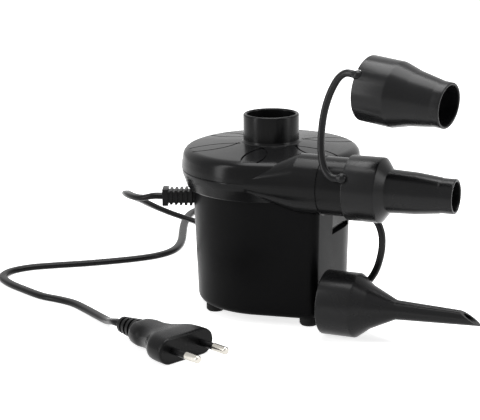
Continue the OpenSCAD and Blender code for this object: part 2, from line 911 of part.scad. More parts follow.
module armature_core() {
    color([0.45, 0.45, 0.48]) translate([0, 0, armature_z]) difference() {
        union() {
            cylinder(r = 5, h = armature_len);
            difference() {
                cylinder(r = armature_r, h = armature_len);
                translate([0, 0, -past]) cylinder(r = armature_r - 1.6, h = armature_len + 2 * past);
                for (i = [0:teeth - 1]) rotate([0, 0, (i + 0.5) * 360 / teeth])
                    translate([0, -0.6, -past]) cube([armature_r + past, 1.2, armature_len + 2 * past]);
            }
            for (i = [0:teeth - 1]) rotate([0, 0, i * 360 / teeth])
                translate([0, -tooth_w / 2, 0]) cube([armature_r - 1, tooth_w, armature_len]);
        }
        translate([0, 0, -past]) cylinder(r = shaft_r, h = armature_len + 2 * past);
    }
}

// Copper fills the slots and bulges past both ends of the iron
module armature_winding() {
    color([0.72, 0.38, 0.2]) {
        for (i = [0:teeth - 1]) rotate([0, 0, (i + 0.5) * 360 / teeth]) difference() {
            rotate([0, 0, -180 / teeth]) translate([0, 0, armature_z])
                rotate_extrude(angle = 360 / teeth) square([armature_r - 1.7, armature_len]);
            cylinder(r = 5.05, h = 200);
            for (s = [-1, 1]) rotate([0, 0, s * 180 / teeth])
                translate([0, -tooth_w / 2 - 0.05, 0]) cube([20, tooth_w + 0.1, 200]);
        }
        for (z = [armature_z - winding_end, armature_z + armature_len])
            translate([0, 0, z]) difference() {
                cylinder(r = armature_r - 1, h = winding_end);
                translate([0, 0, -past]) cylinder(r = shaft_r + 1, h = winding_end + 2 * past);
            }
    }
}

commutator_z = motor_z + 2.2;

module commutator() {
    color([0.8, 0.45, 0.25]) translate([0, 0, commutator_z]) difference() {
        union() {
            cylinder(r = commutator_r, h = brush_h + 1.5);
            translate([0, 0, brush_h + 1.5]) cylinder(r = commutator_r + 0.9, h = 1);
        }
        translate([0, 0, -past]) cylinder(r = shaft_r, h = 20);
        for (i = [0:teeth - 1]) rotate([0, 0, (i + 0.5) * 360 / teeth])
            translate([commutator_r - 0.6, -0.2, -past]) cube([5, 0.4, 20]);
    }
}

hub_r = 4.6;

module blade() {
    arc_r = 22;
    intersection() {
        translate([4, -arc_r + 1]) difference() {
            circle(r = arc_r + blade_t / 2);
            circle(r = arc_r - blade_t / 2);
        }
        difference() {
            circle(r = impeller_r - 0.5);
            circle(r = hub_r - 0.5);
        }
        translate([0, -60]) square([60, 64]);
    }
}

module impeller() {
    color([0.8, 0.8, 0.78]) difference() {
        union() {
            translate([0, 0, impeller_z]) cylinder(r = impeller_r, h = backplate_t);
            translate([0, 0, impeller_z]) cylinder(r = hub_r, h = backplate_t + blade_h - 1);
            intersection() {
                translate([0, 0, impeller_z + backplate_t - 0.2]) for (i = [0:blade_count - 1])
                    mirror([0, 1, 0]) rotate([0, 0, i * 360 / blade_count]) linear_extrude(blade_h + 0.2) blade();
                rotate_extrude() polygon([
                    [0, impeller_z], [impeller_r, impeller_z], [impeller_r, impeller_z + backplate_t + blade_h - 3],
                    [port_bore_r, impeller_z + backplate_t + blade_h], [0, impeller_z + backplate_t + blade_h]
                ]);
            }
        }
        translate([0, 0, impeller_z - past]) cylinder(r = shaft_r, h = 40);
    }
}

module impeller_retainer() {
    color([0.7, 0.7, 0.72]) translate([0, 0, impeller_z + backplate_t + blade_h - 1]) difference() {
        cylinder(r = 3.4, h = 1.6);
        translate([0, 0, -past]) cylinder(r = shaft_r, h = 10);
    }
}

// ------------------------------------------------------------------ switch

well_w = 17.8;
well_h = 11.6;
well_depth = 4.5;
pivot_x = recess_x + 0.6;
pivot_pin_r = 0.9;

module switch_case() {
    color([0.06, 0.06, 0.06]) difference() {
        union() {
            translate([recess_x, switch_y - bezel_w / 2, switch_z - bezel_h / 2])
                cube([bezel_t, bezel_w, bezel_h]);
            translate([case_back_x, switch_y - case_w / 2, switch_z - case_h / 2])
                cube([recess_x - case_back_x, case_w, case_h]);
        }
        translate([recess_x - well_depth, switch_y - well_w / 2, switch_z - well_h / 2])
            cube([10, well_w, well_h]);
        translate([pivot_x, switch_y, switch_z - bezel_h / 2 + 0.9])
            cylinder(r = pivot_pin_r + 0.06, h = bezel_h - 1.8);
    }
}

module switch_terminals() {
    color([0.8, 0.7, 0.4]) for (y = [-5.5, 5.5])
        translate([case_back_x - 5, switch_y + y - 2.4, switch_z - 0.4]) cube([5, 4.8, 0.8]);
}

rocker_half = well_w / 2 - 0.2;

module rocker() {
    color([0.05, 0.05, 0.05]) translate([pivot_x, switch_y, switch_z]) {
        rotate([0, 0, -rocker_swing / 2]) translate([0, 0, -well_h / 2 + 0.2])
            linear_extrude(well_h - 0.4) intersection() {
                circle(r = rocker_half);
                polygon([[-2.6, -4], [1, -9], [3.4, -9], [2, 0], [3.4, 9], [1, 9], [-2.6, 4]]);
            }
        translate([0, 0, -bezel_h / 2 + 1.1]) cylinder(r = pivot_pin_r, h = bezel_h - 2.2);
    }
}

// ------------------------------------------------------------- electrics

module circuit_board() {
    color([0.15, 0.4, 0.2])
        translate([-board_w / 2, board_y, board_z]) cube([board_w, board_t, board_h]);
}

module rectifier() {
    color([0.1, 0.1, 0.1])
        translate([-9.5, board_y - 4, board_z + 20]) cube([9, 4, 9]);
}

module suppressor_capacitor() {
    color([0.85, 0.7, 0.25])
        translate([0, board_y - 5, board_z + 12]) cube([9.5, 5, 12]);
}

module thermal_fuse() {
    color([0.85, 0.85, 0.85])
        translate([-9, board_y - 1.5, board_z + 10]) rotate([0, 90, 0]) cylinder(r = 1.5, h = 8);
}

lead_r = 0.9;

module motor_leads() {
    color([0.3, 0.15, 0.1]) {
        swept([
            [board_w / 2 - 4, board_y - 0.2, board_z + 28], [board_w / 2 - 4, board_y - 4, board_z + 28],
            [15, 20, board_z + 28], [20, 12, switch_z - 11.5], [case_back_x - 4, switch_y + 5.5, switch_z - 6.5],
            [case_back_x - 3.5, switch_y + 5.5, switch_z - 2.4], [case_back_x - 3.5, switch_y + 5.5, switch_z - 0.6]
        ], 2 * lead_r, 2 * lead_r, 8, [0.6, 0.2, 0.5]);
        swept([
            [4 - board_w / 2, board_y - 0.2, board_z + 30], [4 - board_w / 2, board_y - 4, board_z + 30],
            [-16, 19, gland_z - 12.5], [-21, 12, gland_z - 6.5], [-24, 4, gland_z - 2.5], [-26, -4, gland_z - 1]
        ], 2 * lead_r, 2 * lead_r, 8, up);
    }
}

relief_ribs = 6;
rib_pitch = 2.7;

// Ribbed strain relief with a solid end block, moulded round the flat cord
module strain_relief() {
    start = wall_r + 0.3;
    block = 3.2;
    color([0.05, 0.05, 0.05]) at_gland() {
        translate([relief_in, -neck_w / 2, -neck_h / 2]) cube([gland_end - relief_in - 1, neck_w, neck_h]);
        translate([relief_in, -gland_w / 2, -gland_h / 2]) cube([3.4, gland_w, gland_h]);
        for (i = [0:relief_ribs - 2])
            translate([start + 0.3 + i * rib_pitch, -gland_w / 2 + i * 0.15, -gland_h / 2 + i * 0.1])
                cube([1.5, gland_w - i * 0.3, gland_h - i * 0.2]);
        translate([gland_end - block, -gland_w / 2 + 0.6, -gland_h / 2 - 0.3])
            cube([block, gland_w - 1.2, gland_h + 0.6]);
    }
}

// The cord's end inside the housing, from the strain relief past the clamp
module cord_inner_end() {
    color([0.04, 0.04, 0.04]) swept(
        [for (r = [relief_in, clamp_place + 3, clamp_place - 5]) polar3(r, gland_turn, gland_z)],
        cord_w, cord_t, 8, up);
}

module cord_clamp() {
    color([0.2, 0.2, 0.2]) at_gland() translate([clamp_place, 0, cord_t / 2]) difference() {
        translate([-3, -clamp_gap / 2 - 3, 0]) cube([6, clamp_gap + 6, 2]);
        for (s = [-1, 1]) translate([0, s * clamp_gap / 2, -past]) cylinder(r = screw_r + 0.2, h = 4);
    }
}

module clamp_screws() {
    color([0.6, 0.6, 0.62]) at_gland() for (s = [-1, 1])
        translate([clamp_place, s * clamp_gap / 2, cord_t / 2 + 2 + screw_head_h]) mirror([0, 0, 1]) screw(8);
}

// ----------------------------------------------------------------- nozzles

socket_bore_r = port_r + socket_gap;

// A hollow nozzle along +Z: a socket, then stations of [height, outside radius]
module nozzle_shape(socket, stations) {
    edge = 0.5;
    outside = concat([[socket_r - edge, 0], [socket_r, edge], [socket_r, socket]],
                     [for (s = stations) [s[1], s[0]]]);
    last = len(stations) - 1;
    bore = [for (i = [last:-1:0]) [stations[i][1] - nozzle_wall, stations[i][0] - (i == last ? 0 : 0.5)]];
    rotate_extrude() polygon(concat(outside, bore, [[socket_bore_r, socket - 0.8], [socket_bore_r, 0]]));
}

mouth_straight = 7;

module nozzle_medium() {
    color([0.1, 0.1, 0.1]) {
        at_outlet(medium_rim_x) nozzle_shape(medium_socket, [
            [medium_socket + 4.2, medium_mouth_r + 2.3], [medium_len - 20.2, medium_mouth_r + 1.7],
            [medium_len - mouth_straight - 1, medium_mouth_r + 0.3], [medium_len - mouth_straight, medium_mouth_r],
            [medium_len, medium_mouth_r]
        ]);
        difference() {
            for (p = [upper_start, lower_start]) translate(p) sphere(r = ball_r, $fn = 32);
            at_outlet(medium_rim_x - 20) cylinder(r = socket_r - 0.8, h = 40);
            at_outlet(duct_end_x) cylinder(r = port_r + free_gap, h = 40);
        }
    }
}

// The large nozzle hangs in the air on its strap, turned a little to the front
large_rim = [medium_rim_x + 8.6, outlet_y, outlet_z + 52];
large_turn = -11;
large_dip = 6;

module at_large() {
    translate(large_rim) rotate([0, 0, large_turn]) rotate([0, 90 + large_dip, 0]) children();
}

module nozzle_large() {
    color([0.1, 0.1, 0.1]) difference() {
        at_large() nozzle_shape(large_socket, [
            [large_socket + 9.2, large_mouth_r + 2.5], [large_len - 5, large_mouth_r], [large_len, large_mouth_r]
        ]);
        translate(upper_end) rotate([90, 0, 0])
            cylinder(r = ball_r + free_gap, h = 2 * (ball_r + free_gap), center = true);
    }
}

// The narrow nozzle lies on the floor, and its tip is cut at a slant
narrow_rim = [46.5, -38.5, socket_r];

module at_narrow() {
    translate(narrow_rim) rotate([0, 90, 0]) children();
}

module nozzle_narrow() {
    color([0.1, 0.1, 0.1]) difference() {
        at_narrow() nozzle_shape(narrow_socket, [
            [narrow_socket + 6.8, 11.5], [narrow_socket + 20.4, narrow_tip_r + 1.8], [narrow_len, narrow_tip_r]
        ]);
        translate([narrow_rim[0] + narrow_len, narrow_rim[1], narrow_rim[2] - narrow_tip_r])
            rotate([0, -58, 0]) translate([0, -10, 0]) cube([30, 20, 30]);
        translate(lower_end) rotate([90, 0, 0])
            cylinder(r = ball_r + free_gap, h = 2 * (ball_r + free_gap), center = true);
    }
}

// ------------------------------------------------------ swept cords and straps

function unit(v) = v / norm(v);
function heading(p, i) =
    i == 0 ? unit(p[1] - p[0])
    : i == len(p) - 1 ? unit(p[i] - p[i - 1])
    : unit(unit(p[i + 1] - p[i]) + unit(p[i] - p[i - 1]));

// A closed tube along points: w wide across the side direction, t thick
module swept(p, w, t, sides, up) {
    rings = len(p);
    points = [
        for (i = [0:rings - 1])
            let(d = heading(p, i), s = unit(cross(up, d)), n = cross(d, s))
                for (k = [0:sides - 1])
                    let(a = (k + 0.5) * 360 / sides) p[i] + s * (w / 2 * cos(a)) + n * (t / 2 * sin(a))
    ];
    skin = [
        for (i = [0:rings - 2], k = [0:sides - 1])
            let(a = i * sides + k, b = i * sides + (k + 1) % sides)
                each [[a, a + sides, b], [b, a + sides, b + sides]]
    ];
    first = [for (k = [1:sides - 2]) [0, k, k + 1]];
    far = (rings - 1) * sides;
    last = [for (k = [1:sides - 2]) [far, far + k + 1, far + k]];
    polyhedron(points = points, faces = concat(skin, first, last));
}

// Strap ends: on each nozzle's rim
upper_start = [medium_rim_x + 0.4, outlet_y - socket_r * cos(28), outlet_z + socket_r * sin(28)];
lower_start = [medium_rim_x + 0.4, outlet_y + socket_r * cos(5), outlet_z - socket_r * sin(5)];
upper_end = large_rim + [-0.6, -12.7, 8.2];
lower_end = narrow_rim + [0.5, socket_r - 0.1, -0.8];

// The upper strap's points from the fitted nozzle's rim, and the lower strap's
// with the share of the way up from the lower ball to the upper one
upper_route = [
    for (p = [
        [-5, -15, 8.1], [-9.5, -13.5, 12.1], [-11.7, -11.5, 18.1], [-12.5, -10, 25.1], [-12.3, -9.2, 32.6],
        [-11.2, -8.8, 40.1], [-9.2, -8.6, 47.1], [-6.5, -8.8, 53.1], [-3, -9.7, 58.1], [1.5, -11, 60.8]
    ]) [medium_rim_x, outlet_y, outlet_z] + p
];
lower_route = [
    for (p = [
        [-4.5, 18.4, 0.98], [-5.5, 19.6, 0.9], [-3, 19.6, 0.82], [2.5, 18.5, 0.74], [8, 17.2, 0.67],
        [11, 16.4, 0.57], [11.5, 16, 0.45], [10.3, 15.8, 0.33], [8, 15.8, 0.22], [4, 16, 0.12], [-1, 16.2, 0.05],
        [-5.5, 16.2, 0.015], [-9, 15.2, 0.002]
    ]) [medium_rim_x + p[0], outlet_y + p[1], lower_end[2] + p[2] * (lower_start[2] - lower_end[2])]
];

module strap(start, route, end) {
    swept(concat([start], route, [end]), strap_d, strap_d, 10, [0, 1, 0]);
}

module strap_upper() {
    color([0.1, 0.1, 0.1]) {
        difference() {
            strap(upper_start, upper_route, upper_end);
            translate(upper_start) sphere(r = ball_r, $fn = 32);
            translate(upper_end) sphere(r = ball_r - 0.4, $fn = 32);
            at_outlet(duct_end_x) cylinder(r = socket_r, h = 40);
        }
        translate(upper_end) sphere(r = ball_r, $fn = 32);
    }
}

module strap_lower() {
    color([0.1, 0.1, 0.1]) {
        difference() {
            strap(lower_start, lower_route, lower_end);
            translate(lower_start) sphere(r = ball_r, $fn = 32);
            translate(lower_end) sphere(r = ball_r - 0.4, $fn = 32);
            at_outlet(duct_end_x) cylinder(r = socket_r, h = 40);
        }
        translate(lower_end) sphere(r = ball_r, $fn = 32);
    }
}

// Where the plug lies, and a point in its own frame
plug_at = [-2, -104.2];
plug_turn = -22.4;
relief_len = 15;

function plug_point(x, y, z) =
    let(c = cos(plug_turn), s = sin(plug_turn))
    [plug_at[0] + x * c - y * s, plug_at[1] + x * s + y * c, plug_h / 2 + z];

// The flat mains cord: out of the housing, down behind it, once round a loop,
// back along the floor in front, and into the plug
rest_z = cord_t / 2;
up = [0, 0, 1];
gland_exit = polar3(gland_end, gland_turn, gland_z);
gland_ahead = polar3(gland_end + cord_w, gland_turn, gland_z);

coil_at = [-35, 83];
coil_az = 113;
layer_rise = cord_t + turn_gap;
turn_pitch = cord_w + turn_gap;
climb_turn = 0.5;

function coil_point(turns) =
    let(
        r = coil_r - turn_pitch * (coil_turns / 2 - abs(turns - coil_turns / 2)),
        climb = min(max((turns - coil_turns / 2) / climb_turn + 0.5, 0), 1)
    )
    concat(coil_at + polar(r, coil_az - 360 * turns), [rest_z + layer_rise * climb]);

coil_rings = 24;
coil_curve = [for (i = [0:round(coil_turns * coil_rings)]) coil_point(i / coil_rings)];
coil_last = len(coil_curve) - 1;
coil_in = coil_curve[0] - cord_w * unit(coil_curve[1] - coil_curve[0]);
coil_out = coil_curve[coil_last] + cord_w * unit(coil_curve[coil_last] - coil_curve[coil_last - 1]);
coil_path = concat([coil_in], coil_curve, [coil_out]);

// Least gap between turns: beside, above, or at a slant between two oval sections
function turn_space(p, q) =
    let(aside = norm([p[0] - q[0], p[1] - q[1]]), over = abs(p[2] - q[2]))
    max(aside - cord_w, over - cord_t, (norm([aside / cord_w, over / cord_t]) - 1) * cord_t);
coil_gap = min([
    for (i = [0:coil_last], j = [i + coil_rings / 2:1:coil_last]) turn_space(coil_curve[i], coil_curve[j])
]);
echo(least_gap_between_turns = coil_gap);

first_route = [
    [-67, -24, 58.8], [-74, -20.5, 58], [-81, -14, 57.2], [-87, -5, 55.3], [-91.5, 5, 52], [-93.5, 15, 48],
    [-93, 25, 43.5], [-90.5, 36, 37.5], [-86.5, 46, 32], [-82.5, 56, 27], [-80, 66, 22.5], [-79, 76, 18],
    [-78.5, 88, 14], [-76.5, 99, 10], [-72, 107, 6.6], [-66.5, 112, 3.4]
];
last_route = [
    [-78, 86, 3.8], [-80, 96, 2.1], [-81, 110, 1.6], [-81, 127, 1.6], [-81, 146, 1.6],
    [-83, 162, 1.6], [-91, 176, 1.6], [-103, 182, 1.6], [-115, 180, 1.6], [-123, 171, 1.6],
    [-125, 158, 1.6], [-122, 143, 1.6], [-115.5, 125, 1.6], [-108, 108, 1.6], [-101, 92, 1.6], [-96.5, 78, 1.6],
    [-95.5, 66, 1.6], [-99, 55, 1.6], [-106, 45.5, 1.6], [-117, 35, 1.6], [-131, 23.5, 1.6], [-146, 13, 1.6],
    [-158, 3.5, 1.6], [-164.5, -8, 1.6], [-162.5, -20, 1.6], [-152.5, -29, 1.6], [-137, -37, 1.6],
    [-122, -43.5, 1.6], [-110, -45.5, 1.6], [-99, -48.5, 1.6], [-87, -55.5, 1.6], [-74, -65, 2.2], [-63.5, -73.5, 3.4]
];

first_path = concat([gland_exit, gland_ahead], first_route, [coil_in - cord_w * unit(coil_curve[0] - coil_in), coil_in]);
last_path = concat([coil_out, coil_out + cord_w * unit(coil_out - coil_curve[coil_last])], last_route,
                   [plug_point(-plug_len - relief_len - cord_w, 0, 0), plug_point(-plug_len - relief_len, 0, 0)]);

function path_length(p) = len(p) < 2 ? 0 : norm(p[1] - p[0]) + path_length([for (i = [1:len(p) - 1]) p[i]]);
echo(cord_length = path_length(first_path) + path_length(coil_path) + path_length(last_path));

module cord_first_lead() {
    color([0.04, 0.04, 0.04]) swept(first_path, cord_w, cord_t, 8, up);
}

module cord_coil() {
    color([0.04, 0.04, 0.04]) swept(coil_path, cord_w, cord_t, 6, up);
}

module cord_last_lead() {
    color([0.04, 0.04, 0.04]) swept(last_path, cord_w, cord_t, 8, up);
}

// -------------------------------------------------------------------- plug

module at_plug() {
    translate([plug_at[0], plug_at[1], plug_h / 2]) rotate([0, 0, plug_turn]) children();
}

// Sections of the plug's body: [place along it, width, height]
plug_sections = [
    [-plug_len, 15, 10.6], [1 - plug_len, 17.6, 11.6], [6 - plug_len, 20, 12], [11 - plug_len, 19.4, 12],
    [16 - plug_len, 22, 12.2], [20 - plug_len, 26.5, 12.8], [-12, plug_w - 2.6, plug_h - 0.2],
    [-8, plug_w - 0.7, plug_h], [-1.2, plug_w, plug_h], [0, plug_w - 1.6, plug_h - 1.6]
];
end_steps = 14;

// Outline with round ends
function plug_ring(s) =
    [for (k = [-1, 1], i = [0:end_steps])
        let(a = k * 90 + 180 * i / end_steps, r = s[2] / 2)
            [s[0], -k * (s[1] / 2 - r) + r * cos(a), r * sin(a)]];

module plug_body() {
    color([0.07, 0.07, 0.07]) at_plug() {
        loft([for (s = plug_sections) plug_ring(s)]);
        translate([-plug_len - relief_len, 0, 0]) rotate([0, 90, 0]) {
            cylinder(r1 = 3.6, r2 = 4.4, h = relief_len + 1);
            for (i = [0:3]) translate([0, 0, 1 + i * 3.6]) cylinder(r1 = 4.3 + i * 0.4, r2 = 4.6 + i * 0.4, h = 2.4);
        }
    }
}

// The sleeves end just under the bare pin's radius, and the shank inside them is thinner still
sleeve_step = 0.2;
shank_step = 0.6;

module plug_sleeves() {
    color([0.07, 0.07, 0.07]) at_plug() for (s = [-1, 1])
        translate([0, s * pin_pitch / 2, 0]) rotate([0, 90, 0]) difference() {
            cylinder(r = pin_r - sleeve_step, h = sleeve_len);
            translate([0, 0, -past]) cylinder(r = pin_r - shank_step, h = sleeve_len + 2 * past);
        }
}

module plug_pins() {
    color([0.8, 0.8, 0.78]) at_plug() for (s = [-1, 1])
        translate([0, s * pin_pitch / 2, 0]) rotate([0, 90, 0]) {
            cylinder(r = pin_r - shank_step, h = sleeve_len);
            translate([0, 0, sleeve_len]) cylinder(r = pin_r, h = pin_len - sleeve_len - 1);
            translate([0, 0, pin_len - 1]) rotate_extrude() polygon(concat(
                [[0, 0]], [for (a = [0:15:90]) [pin_r - 1 + cos(a), sin(a)]], [[0, 1]]
            ));
        }
}

lower_housing();
feet();
housing_screws();
volute_base();
top_cover();
inlet_neck();
cover_screws();
inlet_grille();
outlet_spigot();
motor_can();
magnets();
motor_end_cap();
upper_bearing();
lower_bearing();
motor_screws();
motor_damper();
brush_holders();
brushes();
brush_springs();
shaft();
armature_core();
armature_winding();
commutator();
impeller();
impeller_retainer();
switch_case();
switch_terminals();
rocker();
circuit_board();
rectifier();
suppressor_capacitor();
thermal_fuse();
motor_leads();
strain_relief();
cord_inner_end();
cord_clamp();
clamp_screws();
nozzle_medium();
nozzle_large();
nozzle_narrow();
strap_upper();
strap_lower();
cord_first_lead();
cord_coil();
cord_last_lead();
plug_body();
plug_sleeves();
plug_pins();
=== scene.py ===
"""Electric air mattress pump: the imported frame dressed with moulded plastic, soft nozzles
on straps, a flat mains cord and its plug. Route and profile sizes are in millimetres,
and every Blender object is in metres, +Z up, with +X the way the air blows out."""

from __future__ import annotations

import json
import logging
import math
from dataclasses import dataclass
from enum import Enum
from typing import Sequence

import bpy
from mathutils import Euler, Matrix, Vector

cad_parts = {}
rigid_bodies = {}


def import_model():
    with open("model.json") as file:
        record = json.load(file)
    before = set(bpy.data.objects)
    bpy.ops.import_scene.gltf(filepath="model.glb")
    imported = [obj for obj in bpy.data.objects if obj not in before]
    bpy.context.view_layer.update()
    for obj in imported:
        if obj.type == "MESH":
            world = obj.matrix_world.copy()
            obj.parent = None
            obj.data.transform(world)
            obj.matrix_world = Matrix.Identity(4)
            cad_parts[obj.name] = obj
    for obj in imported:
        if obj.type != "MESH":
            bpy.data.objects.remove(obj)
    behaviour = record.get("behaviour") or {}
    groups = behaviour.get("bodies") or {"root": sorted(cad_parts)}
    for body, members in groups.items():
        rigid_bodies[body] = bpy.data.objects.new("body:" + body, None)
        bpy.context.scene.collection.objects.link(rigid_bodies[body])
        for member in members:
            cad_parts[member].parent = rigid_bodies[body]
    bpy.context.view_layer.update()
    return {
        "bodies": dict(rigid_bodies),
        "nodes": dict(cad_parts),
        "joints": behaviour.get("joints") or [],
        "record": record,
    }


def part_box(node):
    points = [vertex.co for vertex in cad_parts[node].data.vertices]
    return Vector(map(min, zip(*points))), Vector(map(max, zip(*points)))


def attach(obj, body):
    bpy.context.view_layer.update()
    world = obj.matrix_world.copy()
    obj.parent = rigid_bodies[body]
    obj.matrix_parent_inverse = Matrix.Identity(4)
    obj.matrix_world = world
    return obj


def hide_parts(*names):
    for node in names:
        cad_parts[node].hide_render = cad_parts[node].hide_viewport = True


LOG = logging.getLogger("pump")
MM = 0.001
Point = tuple[float, float, float]
Outline = list[tuple[float, float]]
Stations = tuple[tuple[float, float], ...]


# ------------------------------------------------------------------ mesh helpers


def shade(piece: bpy.types.Object, angle: float = 35.0) -> None:
    """Smooths a piece's shading up to an angle between faces.

    Args:
        piece: The mesh object to shade.
        angle: Edges that turn more than this many degrees stay sharp.
    """
    piece.data.shade_smooth()
    piece.data.set_sharp_from_angle(angle=math.radians(angle))


def mesh_piece(name: str, points: Sequence[Sequence[float]], faces: list[list[int]]) -> bpy.types.Object:
    """Makes a shaded mesh object from points in millimetres.

    Args:
        name: The piece's name.
        points: Its points, in millimetres.
        faces: Its faces, as lists of point numbers.

    Returns:
        The new object, linked to the scene.
    """
    mesh = bpy.data.meshes.new(name)
    mesh.from_pydata([Vector(p) * MM for p in points], [], faces)
    mesh.validate()
    mesh.update()
    piece = bpy.data.objects.new(name, mesh)
    bpy.context.scene.collection.objects.link(piece)
    shade(piece)
    return piece


def rounded(corners: Outline, radius: float, steps: int = 5) -> Outline:
    """Rounds every corner of a closed outline.

    Args:
        corners: The outline's corners.
        radius: How far along each side a rounding reaches at most.
        steps: Points on each rounding, less one.

    Returns:
        The rounded outline.
    """
    out: Outline = []
    count = len(corners)
    for i, corner in enumerate(corners):
        here = Vector(corner)
        before = Vector(corners[i - 1]) - here
        after = Vector(corners[(i + 1) % count]) - here
        start = here + before.normalized() * min(radius, before.length * 0.45)
        end = here + after.normalized() * min(radius, after.length * 0.45)
        for k in range(steps + 1):
            t = k / steps
            p = start * (1 - t) ** 2 + here * (2 * t * (1 - t)) + end * t**2
            out.append((p.x, p.y))
    return out


def lathe(name: str, outline: Outline, place: Matrix, segments: int = 112) -> bpy.types.Object:
    """Turns a closed outline round the local Z axis.

    Args:
        name: The piece's name.
        outline: Radius and height of each point, in millimetres.
        place: Where the turned form stands, in millimetres.
        segments: Steps round the axis.

    Returns:
        The turned piece.
    """
    count = len(outline)
    points = [
        place @ Vector((r * math.cos(a), r * math.sin(a), h))
        for a in (math.tau * s / segments for s in range(segments))
        for r, h in outline
    ]
    faces = []
    for s in range(segments):
        here, ahead = s * count, (s + 1) % segments * count
        for k in range(count):
            n = (k + 1) % count
            faces.append([here + k, ahead + k, ahead + n, here + n])
    return mesh_piece(name, points, faces)


def loft(name: str, rings: list[list[Vector]]) -> bpy.types.Object:
    """Makes a closed skin through rings that have the same number of points.

    Args:
        name: The piece's name.
        rings: The rings, in millimetres.

    Returns:
        The lofted piece.
    """
    count = len(rings[0])
    faces = [
        [i * count + k, i * count + (k + 1) % count, (i + 1) * count + (k + 1) % count, (i + 1) * count + k]
        for i in range(len(rings) - 1)
        for k in range(count)
    ]
    faces.append(list(range(count))[::-1])
    faces.append([(len(rings) - 1) * count + k for k in range(count)])
    return mesh_piece(name, [p for ring in rings for p in ring], faces)


def smooth_route(points: Sequence[Sequence[float]], steps: int) -> list[Vector]:
    """Runs a smooth curve through points.

    Args:
        points: The points that the curve passes.
        steps: Steps from each point to the next.

    Returns:
        The curve's points.
    """
    p = [Vector(q) for q in points]
    p = [p[0] * 2 - p[1], *p, p[-1] * 2 - p[-2]]
    out = []
    for i in range(1, len(p) - 2):
        for k in range(steps):
            t = k / steps
            out.append(
                0.5
                * (
                    2 * p[i]
                    + (p[i + 1] - p[i - 1]) * t
                    + (2 * p[i - 1] - 5 * p[i] + 4 * p[i + 1] - p[i + 2]) * t**2
                    + (3 * p[i] - p[i - 1] - 3 * p[i + 1] + p[i + 2]) * t**3
                )
            )
    return [*out, p[-2]]


def sweep(
    name: str, path: list[Vector], sizes: list[tuple[float, float]], up: Vector, sides: int
) -> bpy.types.Object:
    """Sweeps an oval with flat sides along a path.

    Args:
        name: The piece's name.
        path: The path's points, in millimetres.
        sizes: Width and thickness at each point.
        up: The direction that the thickness faces.
        sides: Points round the section.

    Returns:
        The swept piece.
    """
    rings = []
    for i, p in enumerate(path):
        ahead = (path[min(i + 1, len(path) - 1)] - path[max(i - 1, 0)]).normalized()
        side = up.cross(ahead).normalized()
        top = ahead.cross(side)
        width, thick = sizes[i]
        flat = (width - thick) / 2
        ring = []
        for k in range(sides):
            a = math.tau * (k + 0.5) / sides
            shift = math.copysign(flat, math.cos(a))
            ring.append(p + side * (shift + thick / 2 * math.cos(a)) + top * (thick / 2 * math.sin(a)))
        rings.append(ring)
    return loft(name, rings)


def cut(piece: bpy.types.Object, cutter: bpy.types.Object) -> None:
    """Cuts one closed piece out of another and deletes the cutter.

    Args:
        piece: The piece that is cut.
        cutter: The form that is taken away.
    """
    step = piece.modifiers.new("cut", "BOOLEAN")
    step.object = cutter
    step.solver = "EXACT"
    graph = bpy.context.evaluated_depsgraph_get()
    made = bpy.data.meshes.new_from_object(piece.evaluated_get(graph))
    piece.modifiers.clear()
    piece.data = made
    bpy.data.objects.remove(cutter)
    shade(piece)


# ---------------------------------------------------------------------- finishes


class Group(Enum):
    """The shader node groups that the finishes share."""

    SURFACE = "moulded_surface"
    HANDLING = "handling_marks"


def new_group(
    kind: Group, inputs: dict[str, tuple[str, float]], outputs: dict[str, str]
) -> bpy.types.NodeTree:
    """Starts a shader node group with named sockets.

    Args:
        kind: Which group it is.
        inputs: Each input's socket type and value.
        outputs: Each output's socket type.

    Returns:
        The group, with its input and output nodes named "in" and "out".
    """
    group = bpy.data.node_groups.new(kind.value, "ShaderNodeTree")
    for name, (socket, value) in inputs.items():
        made = group.interface.new_socket(name=name, in_out="INPUT", socket_type=socket)
        if socket == "NodeSocketFloat":
            made.default_value = value
    for name, socket in outputs.items():
        group.interface.new_socket(name=name, in_out="OUTPUT", socket_type=socket)
    group.nodes.new("NodeGroupInput").name = "in"
    group.nodes.new("NodeGroupOutput").name = "out"
    return group


def noise(group: bpy.types.NodeTree, scale: bpy.types.NodeSocket, detail: float) -> bpy.types.Node:
    """Adds a noise texture that reads the group's vector and a scale.

    Args:
        group: The group that it is added to.
        scale: The socket that gives the scale.
        detail: Levels of finer noise.

    Returns:
        The noise node.
    """
    node = group.nodes.new("ShaderNodeTexNoise")
    node.inputs["Detail"].default_value = detail
    group.links.new(group.nodes["in"].outputs["Vector"], node.inputs["Vector"])
    group.links.new(scale, node.inputs["Scale"])
    return node


